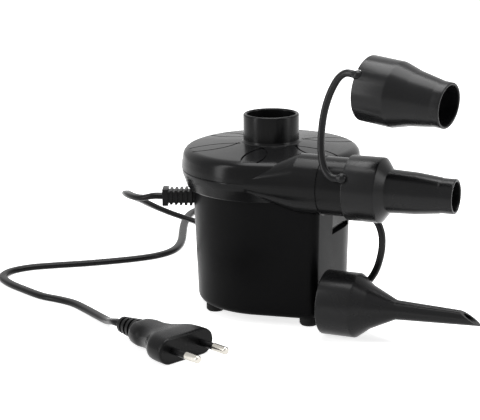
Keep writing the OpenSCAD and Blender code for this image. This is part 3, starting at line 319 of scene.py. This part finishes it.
def surface_group() -> bpy.types.NodeTree:
    """Builds or finds the group that gives a moulded face its grain and its uneven tone.

    Returns:
        The group, with Height and Tone as outputs.
    """
    found = bpy.data.node_groups.get(Group.SURFACE.value)
    if found:
        return found
    number = "NodeSocketFloat"
    group = new_group(
        Group.SURFACE,
        {"Vector": ("NodeSocketVector", 0), "Grain Scale": (number, 2500), "Tone Scale": (number, 60),
         "Tone Spread": (number, 0.2)},
        {"Height": number, "Tone": number},
    )
    source, out = group.nodes["in"], group.nodes["out"]
    grain = noise(group, source.outputs["Grain Scale"], 2.0)
    tone = noise(group, source.outputs["Tone Scale"], 4.0)
    spread = group.nodes.new("ShaderNodeMath")
    spread.operation = "MULTIPLY_ADD"
    centre = group.nodes.new("ShaderNodeMath")
    centre.operation = "SUBTRACT"
    centre.inputs[1].default_value = 0.5
    group.links.new(tone.outputs["Fac"], centre.inputs[0])
    group.links.new(centre.outputs[0], spread.inputs[0])
    group.links.new(source.outputs["Tone Spread"], spread.inputs[1])
    spread.inputs[2].default_value = 1.0
    group.links.new(grain.outputs["Fac"], out.inputs["Height"])
    group.links.new(spread.outputs[0], out.inputs["Tone"])
    return group


def handling_group() -> bpy.types.NodeTree:
    """Builds or finds the group that gives smears and faint scuffs from hands.

    Returns:
        The group, with Roughness as its output.
    """
    found = bpy.data.node_groups.get(Group.HANDLING.value)
    if found:
        return found
    number = "NodeSocketFloat"
    group = new_group(
        Group.HANDLING,
        {"Vector": ("NodeSocketVector", 0), "Scale": (number, 35), "Low": (number, 0.4),
         "High": (number, 0.5)},
        {"Roughness": number},
    )
    source, out = group.nodes["in"], group.nodes["out"]
    smear = noise(group, source.outputs["Scale"], 6.0)
    smear.inputs["Distortion"].default_value = 0.8
    ranged = group.nodes.new("ShaderNodeMapRange")
    ranged.inputs["From Min"].default_value = 0.3
    ranged.inputs["From Max"].default_value = 0.7
    group.links.new(smear.outputs["Fac"], ranged.inputs["Value"])
    group.links.new(source.outputs["Low"], ranged.inputs["To Min"])
    group.links.new(source.outputs["High"], ranged.inputs["To Max"])
    group.links.new(ranged.outputs["Result"], out.inputs["Roughness"])
    return group


@dataclass(frozen=True)
class Finish:
    """One finish: its colour, its gloss, and the scale of its grain."""

    name: str
    colour: Point
    rough: tuple[float, float]
    grain_scale: float = 2500
    grain_height: float = 0.00002
    tone_scale: float = 60
    tone_spread: float = 0.25
    metallic: float = 0.0
    coat: float = 0.0
    sheen: float = 0.0
    specular: float = 0.2

    def material(self) -> bpy.types.Material:
        """Builds the material from the shared groups.

        Returns:
            The finish's material, made once.
        """
        found = bpy.data.materials.get(self.name)
        if found:
            return found
        made = bpy.data.materials.new(self.name)
        made.use_nodes = True
        tree = made.node_tree
        shader = tree.nodes["Principled BSDF"]
        shader.inputs["Metallic"].default_value = self.metallic
        shader.inputs["Coat Weight"].default_value = self.coat
        shader.inputs["Sheen Weight"].default_value = self.sheen
        shader.inputs["Specular IOR Level"].default_value = 0.5 if self.metallic else self.specular
        where = tree.nodes.new("ShaderNodeTexCoord")
        surface = self._group(tree, surface_group(), {
            "Grain Scale": self.grain_scale, "Tone Scale": self.tone_scale, "Tone Spread": self.tone_spread})
        handling = self._group(tree, handling_group(), {"Low": self.rough[0], "High": self.rough[1]})
        for node in (surface, handling):
            tree.links.new(where.outputs["Object"], node.inputs["Vector"])
        colour = tree.nodes.new("ShaderNodeVectorMath")
        colour.operation = "SCALE"
        colour.inputs[0].default_value = self.colour
        tree.links.new(surface.outputs["Tone"], colour.inputs["Scale"])
        tree.links.new(colour.outputs["Vector"], shader.inputs["Base Color"])
        tree.links.new(handling.outputs["Roughness"], shader.inputs["Roughness"])
        bump = tree.nodes.new("ShaderNodeBump")
        bump.inputs["Distance"].default_value = self.grain_height
        tree.links.new(surface.outputs["Height"], bump.inputs["Height"])
        tree.links.new(bump.outputs["Normal"], shader.inputs["Normal"])
        return made

    @staticmethod
    def _group(
        tree: bpy.types.NodeTree, group: bpy.types.NodeTree, values: dict[str, float]
    ) -> bpy.types.Node:
        """Places a shared group in a material with the finish's own values.

        Args:
            tree: The material's node tree.
            group: The shared group.
            values: The value of each input that the finish sets.

        Returns:
            The group's node in the material.
        """
        node = tree.nodes.new("ShaderNodeGroup")
        node.node_tree = group
        for name, value in values.items():
            node.inputs[name].default_value = value
        return node


FINISHES: dict[str, Finish] = {
    "housing": Finish("textured_black", (0.0055, 0.0055, 0.0058), (0.28, 0.36), 3200, 0.00003, specular=0.03),
    "cover": Finish("satin_black", (0.006, 0.006, 0.0063), (0.18, 0.26), 4200, 0.00001, specular=0.1),
    "nozzle": Finish("soft_pvc", (0.008, 0.008, 0.0085), (0.22, 0.3), 2600, 0.00002,
                     sheen=0.01, specular=0.16),
    "cord": Finish("cord_pvc", (0.005, 0.005, 0.0053), (0.22, 0.3), 1800, 0.00001, specular=0.1),
    "switch": Finish("switch_black", (0.007, 0.007, 0.007), (0.22, 0.32), 4000, 0.000006),
    "foot": Finish("foot_rubber", (0.01, 0.01, 0.01), (0.7, 0.85), 2200, 0.00004),
    "steel": Finish("plated_steel", (0.6, 0.6, 0.62), (0.22, 0.38), 900, 0.000004, metallic=1.0),
    "iron": Finish("bare_iron", (0.3, 0.3, 0.31), (0.45, 0.6), 1200, 0.00002, metallic=1.0),
    "magnet": Finish("ferrite", (0.1, 0.1, 0.11), (0.6, 0.75), 1500, 0.00003),
    "copper": Finish("enamelled_copper", (0.72, 0.38, 0.2), (0.25, 0.4), 1400, 0.00001,
                     metallic=1.0, coat=0.4),
    "brass": Finish("plain_brass", (0.78, 0.62, 0.32), (0.28, 0.42), 1000, 0.000006, metallic=1.0),
    "carbon": Finish("carbon_black", (0.06, 0.06, 0.06), (0.55, 0.7), 1800, 0.00002),
    "white_plastic": Finish("natural_plastic", (0.75, 0.73, 0.68), (0.38, 0.5), 2200, 0.00001,
                            tone_spread=0.08),
    "board": Finish("board_green", (0.1, 0.3, 0.14), (0.35, 0.48), 1500, 0.00001),
    "yellow_film": Finish("capacitor_yellow", (0.8, 0.6, 0.15), (0.2, 0.32), 1200, 0.000006),
    "pin_metal": Finish("nickel", (0.46, 0.44, 0.4), (0.16, 0.28), 700, 0.000003, metallic=1.0),
}


def dress(piece: bpy.types.Object, slot: str) -> None:
    """Gives a piece the one finish of a material slot.

    Args:
        piece: The piece to dress.
        slot: The record's material slot.
    """
    piece.data.materials.clear()
    piece.data.materials.append(FINISHES[slot].material())


# --------------------------------------------------------------------- the studio


@dataclass(frozen=True)
class Lamp:
    """One soft rectangular lamp: its place and size in metres, and its power in watts."""

    name: str
    place: Point
    size: tuple[float, float]
    power: float


@dataclass
class Studio:
    """Camera, pale floor and soft lights."""

    camera_at: Point = (0.331352, -0.780616, 0.268920)
    camera_turn: Point = (75.6804, 0.6991, 23.9981)
    lens: float = 120.0
    sensor: float = 36.0
    near_clip: float = 0.01
    floor_half: float = 3000.0
    floor_white: float = 0.8
    floor_glow: float = 0.78
    glow_grows: tuple[float, float] = (0.25, 0.7)
    dim_world: float = 0.1
    lamps_aim: Point = (0.0, 0.0, 0.07)
    lamps: tuple[Lamp, ...] = (
        Lamp("top_softbox", (0.0, 0.1, 0.95), (0.7, 0.7), 12.0),
        Lamp("left_strip", (-0.6, -0.6, 0.35), (0.18, 0.9), 4.5),
        Lamp("right_strip", (0.85, 0.1, 0.4), (0.25, 0.9), 3.5),
    )

    def camera(self) -> None:
        """Places the camera."""
        data = bpy.data.cameras.new("camera")
        data.lens = self.lens
        data.sensor_width = self.sensor
        data.clip_start = self.near_clip
        camera = bpy.data.objects.new("camera", data)
        camera.location = self.camera_at
        camera.rotation_euler = Euler([math.radians(a) for a in self.camera_turn], "XYZ")
        bpy.context.scene.collection.objects.link(camera)
        bpy.context.scene.camera = camera

    @staticmethod
    def _seen(tree: bpy.types.NodeTree) -> bpy.types.NodeSocket:
        """Adds a mask that is 1 for camera, glossy and transmitted rays.

        Args:
            tree: The node tree that it is added to.

        Returns:
            The mask's socket.
        """
        path = tree.nodes.new("ShaderNodeLightPath")
        total = path.outputs["Is Camera Ray"]
        for name in ("Is Glossy Ray", "Is Transmission Ray"):
            both = tree.nodes.new("ShaderNodeMath")
            both.operation = "MAXIMUM"
            tree.links.new(total, both.inputs[0])
            tree.links.new(path.outputs[name], both.inputs[1])
            total = both.outputs[0]
        return total

    def floor(self) -> None:
        """Lays a white floor that keeps the soft shadow and glows full white further out."""
        h = self.floor_half
        floor = mesh_piece("floor", [(-h, -h, 0), (h, -h, 0), (h, h, 0), (-h, h, 0)], [[0, 1, 2, 3]])
        made = bpy.data.materials.new("white_floor")
        made.use_nodes = True
        tree = made.node_tree
        shader = tree.nodes["Principled BSDF"]
        shader.inputs["Base Color"].default_value = (*[self.floor_white] * 3, 1)
        shader.inputs["Roughness"].default_value = 0.9
        shader.inputs["Specular IOR Level"].default_value = 0.0
        shader.inputs["Emission Color"].default_value = (1, 1, 1, 1)
        glow = tree.nodes.new("ShaderNodeMath")
        glow.operation = "MULTIPLY"
        place = tree.nodes.new("ShaderNodeNewGeometry")
        away = tree.nodes.new("ShaderNodeVectorMath")
        away.operation = "LENGTH"
        fade = tree.nodes.new("ShaderNodeMapRange")
        fade.inputs["From Min"].default_value = self.glow_grows[0]
        fade.inputs["From Max"].default_value = self.glow_grows[1]
        fade.inputs["To Min"].default_value = self.floor_glow
        fade.inputs["To Max"].default_value = 1.0
        tree.links.new(place.outputs["Position"], away.inputs[0])
        tree.links.new(away.outputs["Value"], fade.inputs["Value"])
        tree.links.new(fade.outputs["Result"], glow.inputs[1])
        tree.links.new(self._seen(tree), glow.inputs[0])
        tree.links.new(glow.outputs[0], shader.inputs["Emission Strength"])
        floor.data.materials.append(made)

    def world(self) -> None:
        """Sets a white surround for the eye and a dim one for the light."""
        world = bpy.data.worlds.new("surround")
        bpy.context.scene.world = world
        world.use_nodes = True
        tree = world.node_tree
        back = tree.nodes["Background"]
        back.inputs["Color"].default_value = (1, 1, 1, 1)
        strength = tree.nodes.new("ShaderNodeMapRange")
        strength.inputs["To Min"].default_value = self.dim_world
        strength.inputs["To Max"].default_value = 1.0
        tree.links.new(self._seen(tree), strength.inputs["Value"])
        tree.links.new(strength.outputs["Result"], back.inputs["Strength"])

    def lights(self) -> None:
        """Hangs a large soft light over the object and a strip at each side."""
        for lamp in self.lamps:
            data = bpy.data.lights.new(lamp.name, "AREA")
            data.shape = "RECTANGLE"
            data.size, data.size_y = lamp.size
            data.energy = lamp.power
            made = bpy.data.objects.new(lamp.name, data)
            made.location = lamp.place
            aim = Vector(self.lamps_aim) - Vector(lamp.place)
            made.rotation_euler = aim.to_track_quat("-Z", "Y").to_euler()
            bpy.context.scene.collection.objects.link(made)


# ----------------------------------------------------------------- cord and plug


@dataclass
class Plug:
    """The flat two-pin plug: its body and the ribbed end where the cord goes in.

    The grip's rows are distance from its back, width and height. The front's rows are place
    before the pins' face, and how much less than full width and height the body is there.
    """

    at: tuple[float, float] = (-2.0, -104.2)
    turn: float = -22.4
    length: float = 36.0
    width: float = 35.3
    height: float = 13.7
    relief: float = 15.0
    relief_end: tuple[float, float] = (7.2, 6.4)
    ribs: int = 4
    rib_start: float = 1.0
    rib_pitch: float = 3.6
    rib_d: float = 8.6
    rib_grows: float = 0.8
    grip: tuple[Point, ...] = (
        (0, 15, 10.6), (1, 17.6, 11.6), (6, 20, 12), (11, 19.4, 12), (16, 22, 12.2), (20, 26.5, 12.8),
    )
    front: tuple[Point, ...] = ((-12, 2.6, 0.2), (-8, 0.7, 0), (-1.2, 0, 0), (0, 1.6, 1.6))
    sides: int = 48
    steps: int = 4

    def place(self) -> Matrix:
        """Matrix from the plug's own frame, in millimetres."""
        turn = Matrix.Rotation(math.radians(self.turn), 4, "Z")
        return Matrix.Translation((*self.at, self.height / 2)) @ turn

    def point(self, x: float) -> Vector:
        """A point on the plug's middle line."""
        return self.place() @ Vector((x, 0, 0))

    def _ring(self, x: float, width: float, height: float) -> list[Vector]:
        """One section of the body, flat above and below with round ends.

        Args:
            x: Where along the middle line it lies.
            width: Its width.
            height: Its height.

        Returns:
            The section's points.
        """
        ring = []
        r = height / 2
        for k in range(self.sides):
            a = math.tau * (k + 0.5) / self.sides
            y = math.copysign(width / 2 - r, math.cos(a)) + r * math.cos(a)
            ring.append(self.place() @ Vector((x, y, r * math.sin(a))))
        return ring

    def _relief(self) -> list[Point]:
        """Sections of the ribbed end.

        Returns:
            The place, width and height of each section.
        """
        sections = [(-self.length - self.relief, *self.relief_end)]
        for i in range(self.ribs):
            start = -self.length - self.relief + self.rib_start + i * self.rib_pitch
            wide = self.rib_d + i * self.rib_grows
            sections += [
                (start, 7.6, 7.2), (start + 0.15, wide, wide),
                (start + 2.2, wide + 0.5, wide + 0.5), (start + 2.4, 7.8, 7.6),
            ]
        return sections

    def build(self) -> bpy.types.Object:
        """Builds the body, waisted for the fingers, with its ribbed end.

        Returns:
            The plug's body.
        """
        body = smooth_route([
            *[(x - self.length, wide, high) for x, wide, high in self.grip],
            *[(x, self.width - wide, self.height - high) for x, wide, high in self.front],
        ], self.steps)
        sections = self._relief() + [(p.x, min(p.y, self.width), min(p.z, self.height)) for p in body]
        piece = loft("plug_shell", [self._ring(*s) for s in sections])
        dress(piece, "cord")
        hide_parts("plug_body")
        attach(piece, "pump")
        LOG.info("%s rides on pump", piece.name)
        return piece


@dataclass
class MainsCord:
    """The flat two-core cord: down behind the housing, a coil, then the floor in front."""

    width: float = 5.4
    thick: float = 3.2
    gap: float = 0.5
    exit_r: float = 59.56
    exit_z: float = 60.5
    exit_turn: float = -158.0
    coil_at: tuple[float, float] = (-35.0, 83.0)
    coil_r: float = 39.0
    coil_turns: float = 3.75
    coil_az: float = 113.0
    coil_steps: int = 24
    climb: float = 0.5
    steps: int = 4
    sides: int = 20

    def _coil_point(self, turns: float) -> Vector:
        """A point of the coil, which winds in to its middle and out again a layer higher.

        Args:
            turns: How many turns from the coil's start.

        Returns:
            The point, in millimetres.
        """
        half = self.coil_turns / 2
        r = self.coil_r - (self.width + self.gap) * (half - abs(turns - half))
        rise = min(max((turns - half) / self.climb + 0.5, 0), 1)
        a = math.radians(self.coil_az - 360 * turns)
        z = self.thick / 2 + (self.thick + self.gap) * rise
        return Vector((self.coil_at[0] + r * math.cos(a), self.coil_at[1] + r * math.sin(a), z))

    def route(self, plug: Plug) -> list[Vector]:
        """The cord's route from the strain relief to the plug, in millimetres.

        Args:
            plug: The plug that the cord ends in.

        Returns:
            The smooth route.
        """
        first = [
            (-67, -24, 58.8), (-74, -20.5, 58), (-81, -14, 57.2), (-87, -5, 55.3), (-91.5, 5, 52),
            (-93.5, 15, 48), (-93, 25, 43.5), (-90.5, 36, 37.5), (-86.5, 46, 32), (-82.5, 56, 27),
            (-80, 66, 22.5), (-79, 76, 18), (-78.5, 88, 14), (-76.5, 99, 10), (-72, 107, 6.6),
            (-66.5, 112, 3.4),
        ]
        last = [
            (-78, 86, 3.8), (-80, 96, 2.1), (-81, 110, 1.6), (-81, 127, 1.6), (-81, 146, 1.6),
            (-83, 162, 1.6), (-91, 176, 1.6), (-103, 182, 1.6), (-115, 180, 1.6), (-123, 171, 1.6),
            (-125, 158, 1.6), (-122, 143, 1.6), (-115.5, 125, 1.6), (-108, 108, 1.6), (-101, 92, 1.6),
            (-96.5, 78, 1.6), (-95.5, 66, 1.6), (-99, 55, 1.6), (-106, 45.5, 1.6), (-117, 35, 1.6),
            (-131, 23.5, 1.6), (-146, 13, 1.6), (-158, 3.5, 1.6), (-164.5, -8, 1.6), (-162.5, -20, 1.6),
            (-152.5, -29, 1.6), (-137, -37, 1.6), (-122, -43.5, 1.6), (-110, -45.5, 1.6), (-99, -48.5, 1.6),
            (-87, -55.5, 1.6), (-74, -65, 2.2), (-63.5, -73.5, 3.4),
        ]
        a = math.radians(self.exit_turn)
        out = Vector((math.cos(a), math.sin(a), 0))
        rise = Vector((0, 0, self.exit_z))
        turns = range(round(self.coil_turns * self.coil_steps) + 1)
        coil = [self._coil_point(i / self.coil_steps) for i in turns]
        into = (coil[1] - coil[0]).normalized() * self.width
        away = (coil[-1] - coil[-2]).normalized() * self.width
        tail = -plug.length - plug.relief
        points = [
            out * self.exit_r + rise, out * (self.exit_r + self.width) + rise, *first,
            coil[0] - into * 2, coil[0] - into, *coil, coil[-1] + away, coil[-1] + away * 2, *last,
            plug.point(tail - self.width), plug.point(tail),
        ]
        return smooth_route(points, self.steps)

    def build(self, plug: Plug, shell: bpy.types.Object) -> None:
        """Args:
            plug: The plug's sizes.
            shell: The plug's body. Not used.
        """
        path = self.route(plug)
        sizes = [(self.width, self.thick)] * len(path)
        piece = sweep("mains_cord", path, sizes, Vector((0, 0, 1)), self.sides)
        dress(piece, "cord")
        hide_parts("cord_first_lead", "cord_coil", "cord_last_lead")
        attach(piece, "pump")


# --------------------------------------------------------------- nozzles, straps


@dataclass
class Nozzles:
    """Three push-on nozzles of one family, and the two straps between them.

    A nozzle's stations are height from its rim and outside radius. The upper strap's bends are
    measured from the fitted nozzle's rim. The lower strap's are measured from there too, but
    with the height as a share of the drop between its ends.
    """

    socket_r: float = 16.8
    bore_r: float = 15.16
    wall: float = 1.4
    step_in: float = 0.5
    seat_depth: float = 0.8
    rounding: float = 0.7
    medium_socket: float = 17.2
    medium_len: float = 55.6
    medium_mouth_r: float = 8.9
    large_socket: float = 17.8
    large_stations: Stations = ((27.0, 14.1), (41.0, 11.6), (46.0, 11.6))
    large_from_medium: Point = (8.6, 0, 52)
    large_turn: float = -11.0
    large_tilt: float = 96.0
    narrow_socket: float = 18.0
    narrow_stations: Stations = ((24.8, 11.5), (38.4, 5.1), (82.8, 3.3))
    narrow_slant: float = -58.0
    slant_box: Point = (30, 10, 30)
    strap_d: float = 3.8
    strap_steps: int = 6
    strap_sides: int = 18
    ball_r: float = 2.7
    ball_caps: Point = (0.5, 0.85, 1.0)
    room: float = 0.35
    room_steps: int = 16
    upper_on_rim: float = 28.0
    lower_on_rim: float = 5.0
    rim_depth: float = 0.4
    upper_end: Point = (-0.6, -12.7, 8.2)
    lower_end: Point = (0.5, 16.7, -0.8)
    upper_bends: tuple[Point, ...] = (
        (-5, -15, 8.1), (-9.5, -13.5, 12.1), (-11.7, -11.5, 18.1), (-12.5, -10, 25.1),
        (-12.3, -9.2, 32.6), (-11.2, -8.8, 40.1), (-9.2, -8.6, 47.1), (-6.5, -8.8, 53.1),
        (-3, -9.7, 58.1), (1.5, -11, 60.8),
    )
    lower_bends: tuple[Point, ...] = (
        (-4.5, 18.4, 0.98), (-5.5, 19.6, 0.9), (-3, 19.6, 0.82), (2.5, 18.5, 0.74), (8, 17.2, 0.67),
        (11, 16.4, 0.57), (11.5, 16, 0.45), (10.3, 15.8, 0.33), (8, 15.8, 0.22), (4, 16, 0.12),
        (-1, 16.2, 0.05), (-5.5, 16.2, 0.015), (-9, 15.2, 0.002),
    )

    def __post_init__(self) -> None:
        """Reads the rims' places from the frame."""
        medium, narrow, spigot = (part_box(n) for n in ("nozzle_medium", "nozzle_narrow", "outlet_spigot"))
        axis = (spigot[0] + spigot[1]) / 2 / MM
        self.medium_rim = Vector((medium[1].x / MM - self.medium_len, axis.y, axis.z))
        self.large_rim = self.medium_rim + Vector(self.large_from_medium)
        low, high = narrow[0] / MM, narrow[1] / MM
        self.narrow_rim = Vector((low.x, (low.y + high.y) / 2, self.socket_r))

    def _medium_stations(self) -> Stations:
        """The fitted nozzle's stations, all from its mouth's radius."""
        r = self.medium_mouth_r
        return (21.4, r + 2.3), (35.4, r + 1.7), (47.6, r + 0.3), (48.6, r), (self.medium_len, r)

    def _profile(self, socket: float, stations: Stations) -> Outline:
        """Closed outline of a nozzle: outside down to the mouth, then back up the bore.

        Args:
            socket: The socket's length.
            stations: The stations past the socket.

        Returns:
            The rounded outline.
        """
        outside = [(self.socket_r, 0.0), (self.socket_r, socket), *[(r, h) for h, r in stations]]
        last = len(stations) - 1
        bore = [
            (r - self.wall, h - (0 if i == last else self.step_in))
            for i, (h, r) in reversed(list(enumerate(stations)))
        ]
        seat = [(self.bore_r, socket - self.seat_depth), (self.bore_r, 0.0)]
        return rounded([*outside, *bore, *seat], self.rounding)

    def _make(
        self, name: str, node: str, socket: float, stations: Stations, place: Matrix
    ) -> bpy.types.Object:
        """Turns one nozzle and lets it stand for its CAD node.

        Args:
            name: The piece's name.
            node: The CAD node that it stands for.
            socket: The socket's length.
            stations: The stations past the socket.
            place: Where it stands, in millimetres.

        Returns:
            The nozzle.
        """
        piece = lathe(name, self._profile(socket, stations), place)
        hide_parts(node)
        return piece

    def _slant(self, narrow: bpy.types.Object) -> None:
        """Cuts the narrow nozzle's slanted mouth.

        Args:
            narrow: The nozzle that is cut.
        """
        far, tip_r = self.narrow_stations[-1]
        tip = Matrix.Translation(self.narrow_rim + Vector((far, 0, -tip_r)))
        slant = tip @ Matrix.Rotation(math.radians(self.narrow_slant), 4, "Y")
        long, half, high = self.slant_box
        corners = [
            slant @ Vector((x, y, z))
            for z in (0, high)
            for x, y in ((0, -half), (long, -half), (long, half), (0, half))
        ]
        cut(narrow, loft("slant_cut", [corners[:4], corners[4:]]))

    def _ball_room(self, piece: bpy.types.Object, at: Vector) -> None:
        """Cuts the room for a strap's ball out of a nozzle.

        Args:
            piece: The nozzle that is cut.
            at: The ball's middle, in millimetres.
        """
        r, steps = self.ball_r + self.room, self.room_steps
        arc = [
            (r * math.sin(math.pi * k / steps), -r * math.cos(math.pi * k / steps)) for k in range(1, steps)
        ]
        cutter = lathe("ball_room", [(0.001, -r), *arc, (0.001, r)], Matrix.Translation(at), 32)
        cut(piece, cutter)

    def _strap(self, name: str, node: str, points: list[Vector]) -> None:
        """Sweeps one strap, which swells to a ball at both ends.

        Args:
            name: The piece's name.
            node: The CAD node that it stands for.
            points: The points that it passes, in millimetres.
        """
        path = smooth_route(points, self.strap_steps)
        caps = len(self.ball_caps)
        for end, step in ((0, 1), (-1, -2)):
            ahead = (path[end] - path[step]).normalized()
            extra = [path[end] + ahead * self.ball_r * t for t in self.ball_caps]
            path = [*reversed(extra), *path] if end == 0 else [*path, *extra]
        first, last = path[caps], path[-1 - caps]
        sizes = []
        for p in path:
            near = min((p - first).length, (p - last).length)
            ball = math.sqrt(max(self.ball_r**2 - near**2, 0.01))
            inside = p in path[:caps] or p in path[-caps:]
            size = 2 * ball if inside else max(self.strap_d, 2 * ball)
            sizes.append((size, size))
        piece = sweep(name, path, sizes, Vector((0, 1, 0)), self.strap_sides)
        dress(piece, "nozzle")
        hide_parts(node)
        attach(piece, "nozzle_medium")
        LOG.info("%s rides on nozzle_medium", piece.name)

    def _on_rim(self, angle: float, side: int) -> Vector:
        """A place on the fitted nozzle's rim, so many degrees below its widest point at a side."""
        a, r = math.radians(angle), self.socket_r
        return self.medium_rim + Vector((self.rim_depth, side * r * math.cos(a), -side * r * math.sin(a)))

    def build(self) -> None:
        """Builds the nozzles and the straps."""
        flat = Matrix.Rotation(math.radians(90), 4, "Y")
        turn = Matrix.Rotation(math.radians(self.large_turn), 4, "Z")
        tilt = turn @ Matrix.Rotation(math.radians(self.large_tilt), 4, "Y")
        medium = self._make("fitted_nozzle", "nozzle_medium", self.medium_socket,
                            self._medium_stations(), Matrix.Translation(self.medium_rim) @ flat)
        large = self._make("large_nozzle", "nozzle_large", self.large_socket,
                           self.large_stations, Matrix.Translation(self.large_rim) @ tilt)
        narrow = self._make("narrow_nozzle", "nozzle_narrow", self.narrow_socket,
                            self.narrow_stations, Matrix.Translation(self.narrow_rim) @ flat)
        self._slant(narrow)
        rim = self.medium_rim
        upper_end = self.large_rim + Vector(self.upper_end)
        lower_start = self._on_rim(self.lower_on_rim, 1)
        lower_end = self.narrow_rim + Vector(self.lower_end)
        drop = lower_start.z - lower_end.z
        upper = [rim + Vector(p) for p in self.upper_bends]
        lower = [Vector((rim.x + x, rim.y + y, lower_end.z + s * drop)) for x, y, s in self.lower_bends]
        self._strap("upper_strap", "strap_upper", [self._on_rim(self.upper_on_rim, -1), *upper, upper_end])
        self._strap("lower_strap", "strap_lower", [lower_start, *lower, lower_end])
        self._ball_room(large, upper_end)
        self._ball_room(narrow, lower_end)
        for piece, body in ((medium, "nozzle_medium"), (large, "nozzle_large"), (narrow, "nozzle_narrow")):
            dress(piece, "nozzle")
            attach(piece, body)
            LOG.info("%s rides on %s", piece.name, body)


# ------------------------------------------------------------------- frame pieces


@dataclass
class Mouldings:
    """The frame's own rigid pieces, which keep their shapes and get their finishes.

    The edge is the bevel's width in millimetres, and creases of more than so many degrees stay crisp.
    """

    bevelled: tuple[str, ...] = ("strain_relief", "switch_case", "rocker")
    edge: float = 0.3
    edge_steps: int = 4
    crease: float = 24.0
    weld: float = 0.00001

    def _creases(self) -> bpy.types.NodeTree:
        """Builds the modifier group that keeps every edge over the crease angle crisp.

        Returns:
            The geometry node group.
        """
        tree = bpy.data.node_groups.new("creases", "GeometryNodeTree")
        tree.interface.new_socket("Mesh", in_out="INPUT", socket_type="NodeSocketGeometry")
        tree.interface.new_socket("Mesh", in_out="OUTPUT", socket_type="NodeSocketGeometry")
        angle = tree.nodes.new("GeometryNodeInputMeshEdgeAngle")
        soft = tree.nodes.new("FunctionNodeCompare")
        soft.operation = "LESS_THAN"
        soft.inputs["B"].default_value = math.radians(self.crease)
        smooth = tree.nodes.new("GeometryNodeSetShadeSmooth")
        smooth.domain = "EDGE"
        tree.links.new(angle.outputs["Unsigned Angle"], soft.inputs["A"])
        tree.links.new(soft.outputs["Result"], smooth.inputs["Shade Smooth"])
        tree.links.new(tree.nodes.new("NodeGroupInput").outputs["Mesh"], smooth.inputs["Geometry"])
        tree.links.new(smooth.outputs["Geometry"], tree.nodes.new("NodeGroupOutput").inputs["Mesh"])
        return tree

    def build(self, frame: dict) -> None:
        """Dresses every CAD node that shows.

        Args:
            frame: The loaded frame.
        """
        creases = self._creases()
        for part in frame["record"]["subparts"]:
            piece = frame["nodes"][part["node"]]
            piece.data.materials.clear()
            piece.data.materials.append(FINISHES[part["material_slot"]].material())
            weld = piece.modifiers.new("weld", "WELD")
            weld.merge_threshold = self.weld
            if piece.name in self.bevelled:
                bevel = piece.modifiers.new("edge", "BEVEL")
                bevel.width = self.edge * MM
                bevel.segments = self.edge_steps
            piece.data.shade_smooth()
            piece.modifiers.new("creases", "NODES").node_group = creases
            LOG.info("%s in %s", piece.name, part["material_slot"])


def main() -> None:
    """Builds the camera and the cord first, then every other piece in order."""
    logging.basicConfig(level=logging.INFO, format="%(name)s: %(message)s")
    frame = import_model()
    bpy.context.scene.view_settings.view_transform = "Standard"
    studio = Studio()
    studio.camera()
    plug = Plug()
    MainsCord().build(plug, plug.build())
    Nozzles().build()
    Mouldings().build(frame)
    studio.floor()
    studio.world()
    studio.lights()


if __name__ == "__main__":
    main()
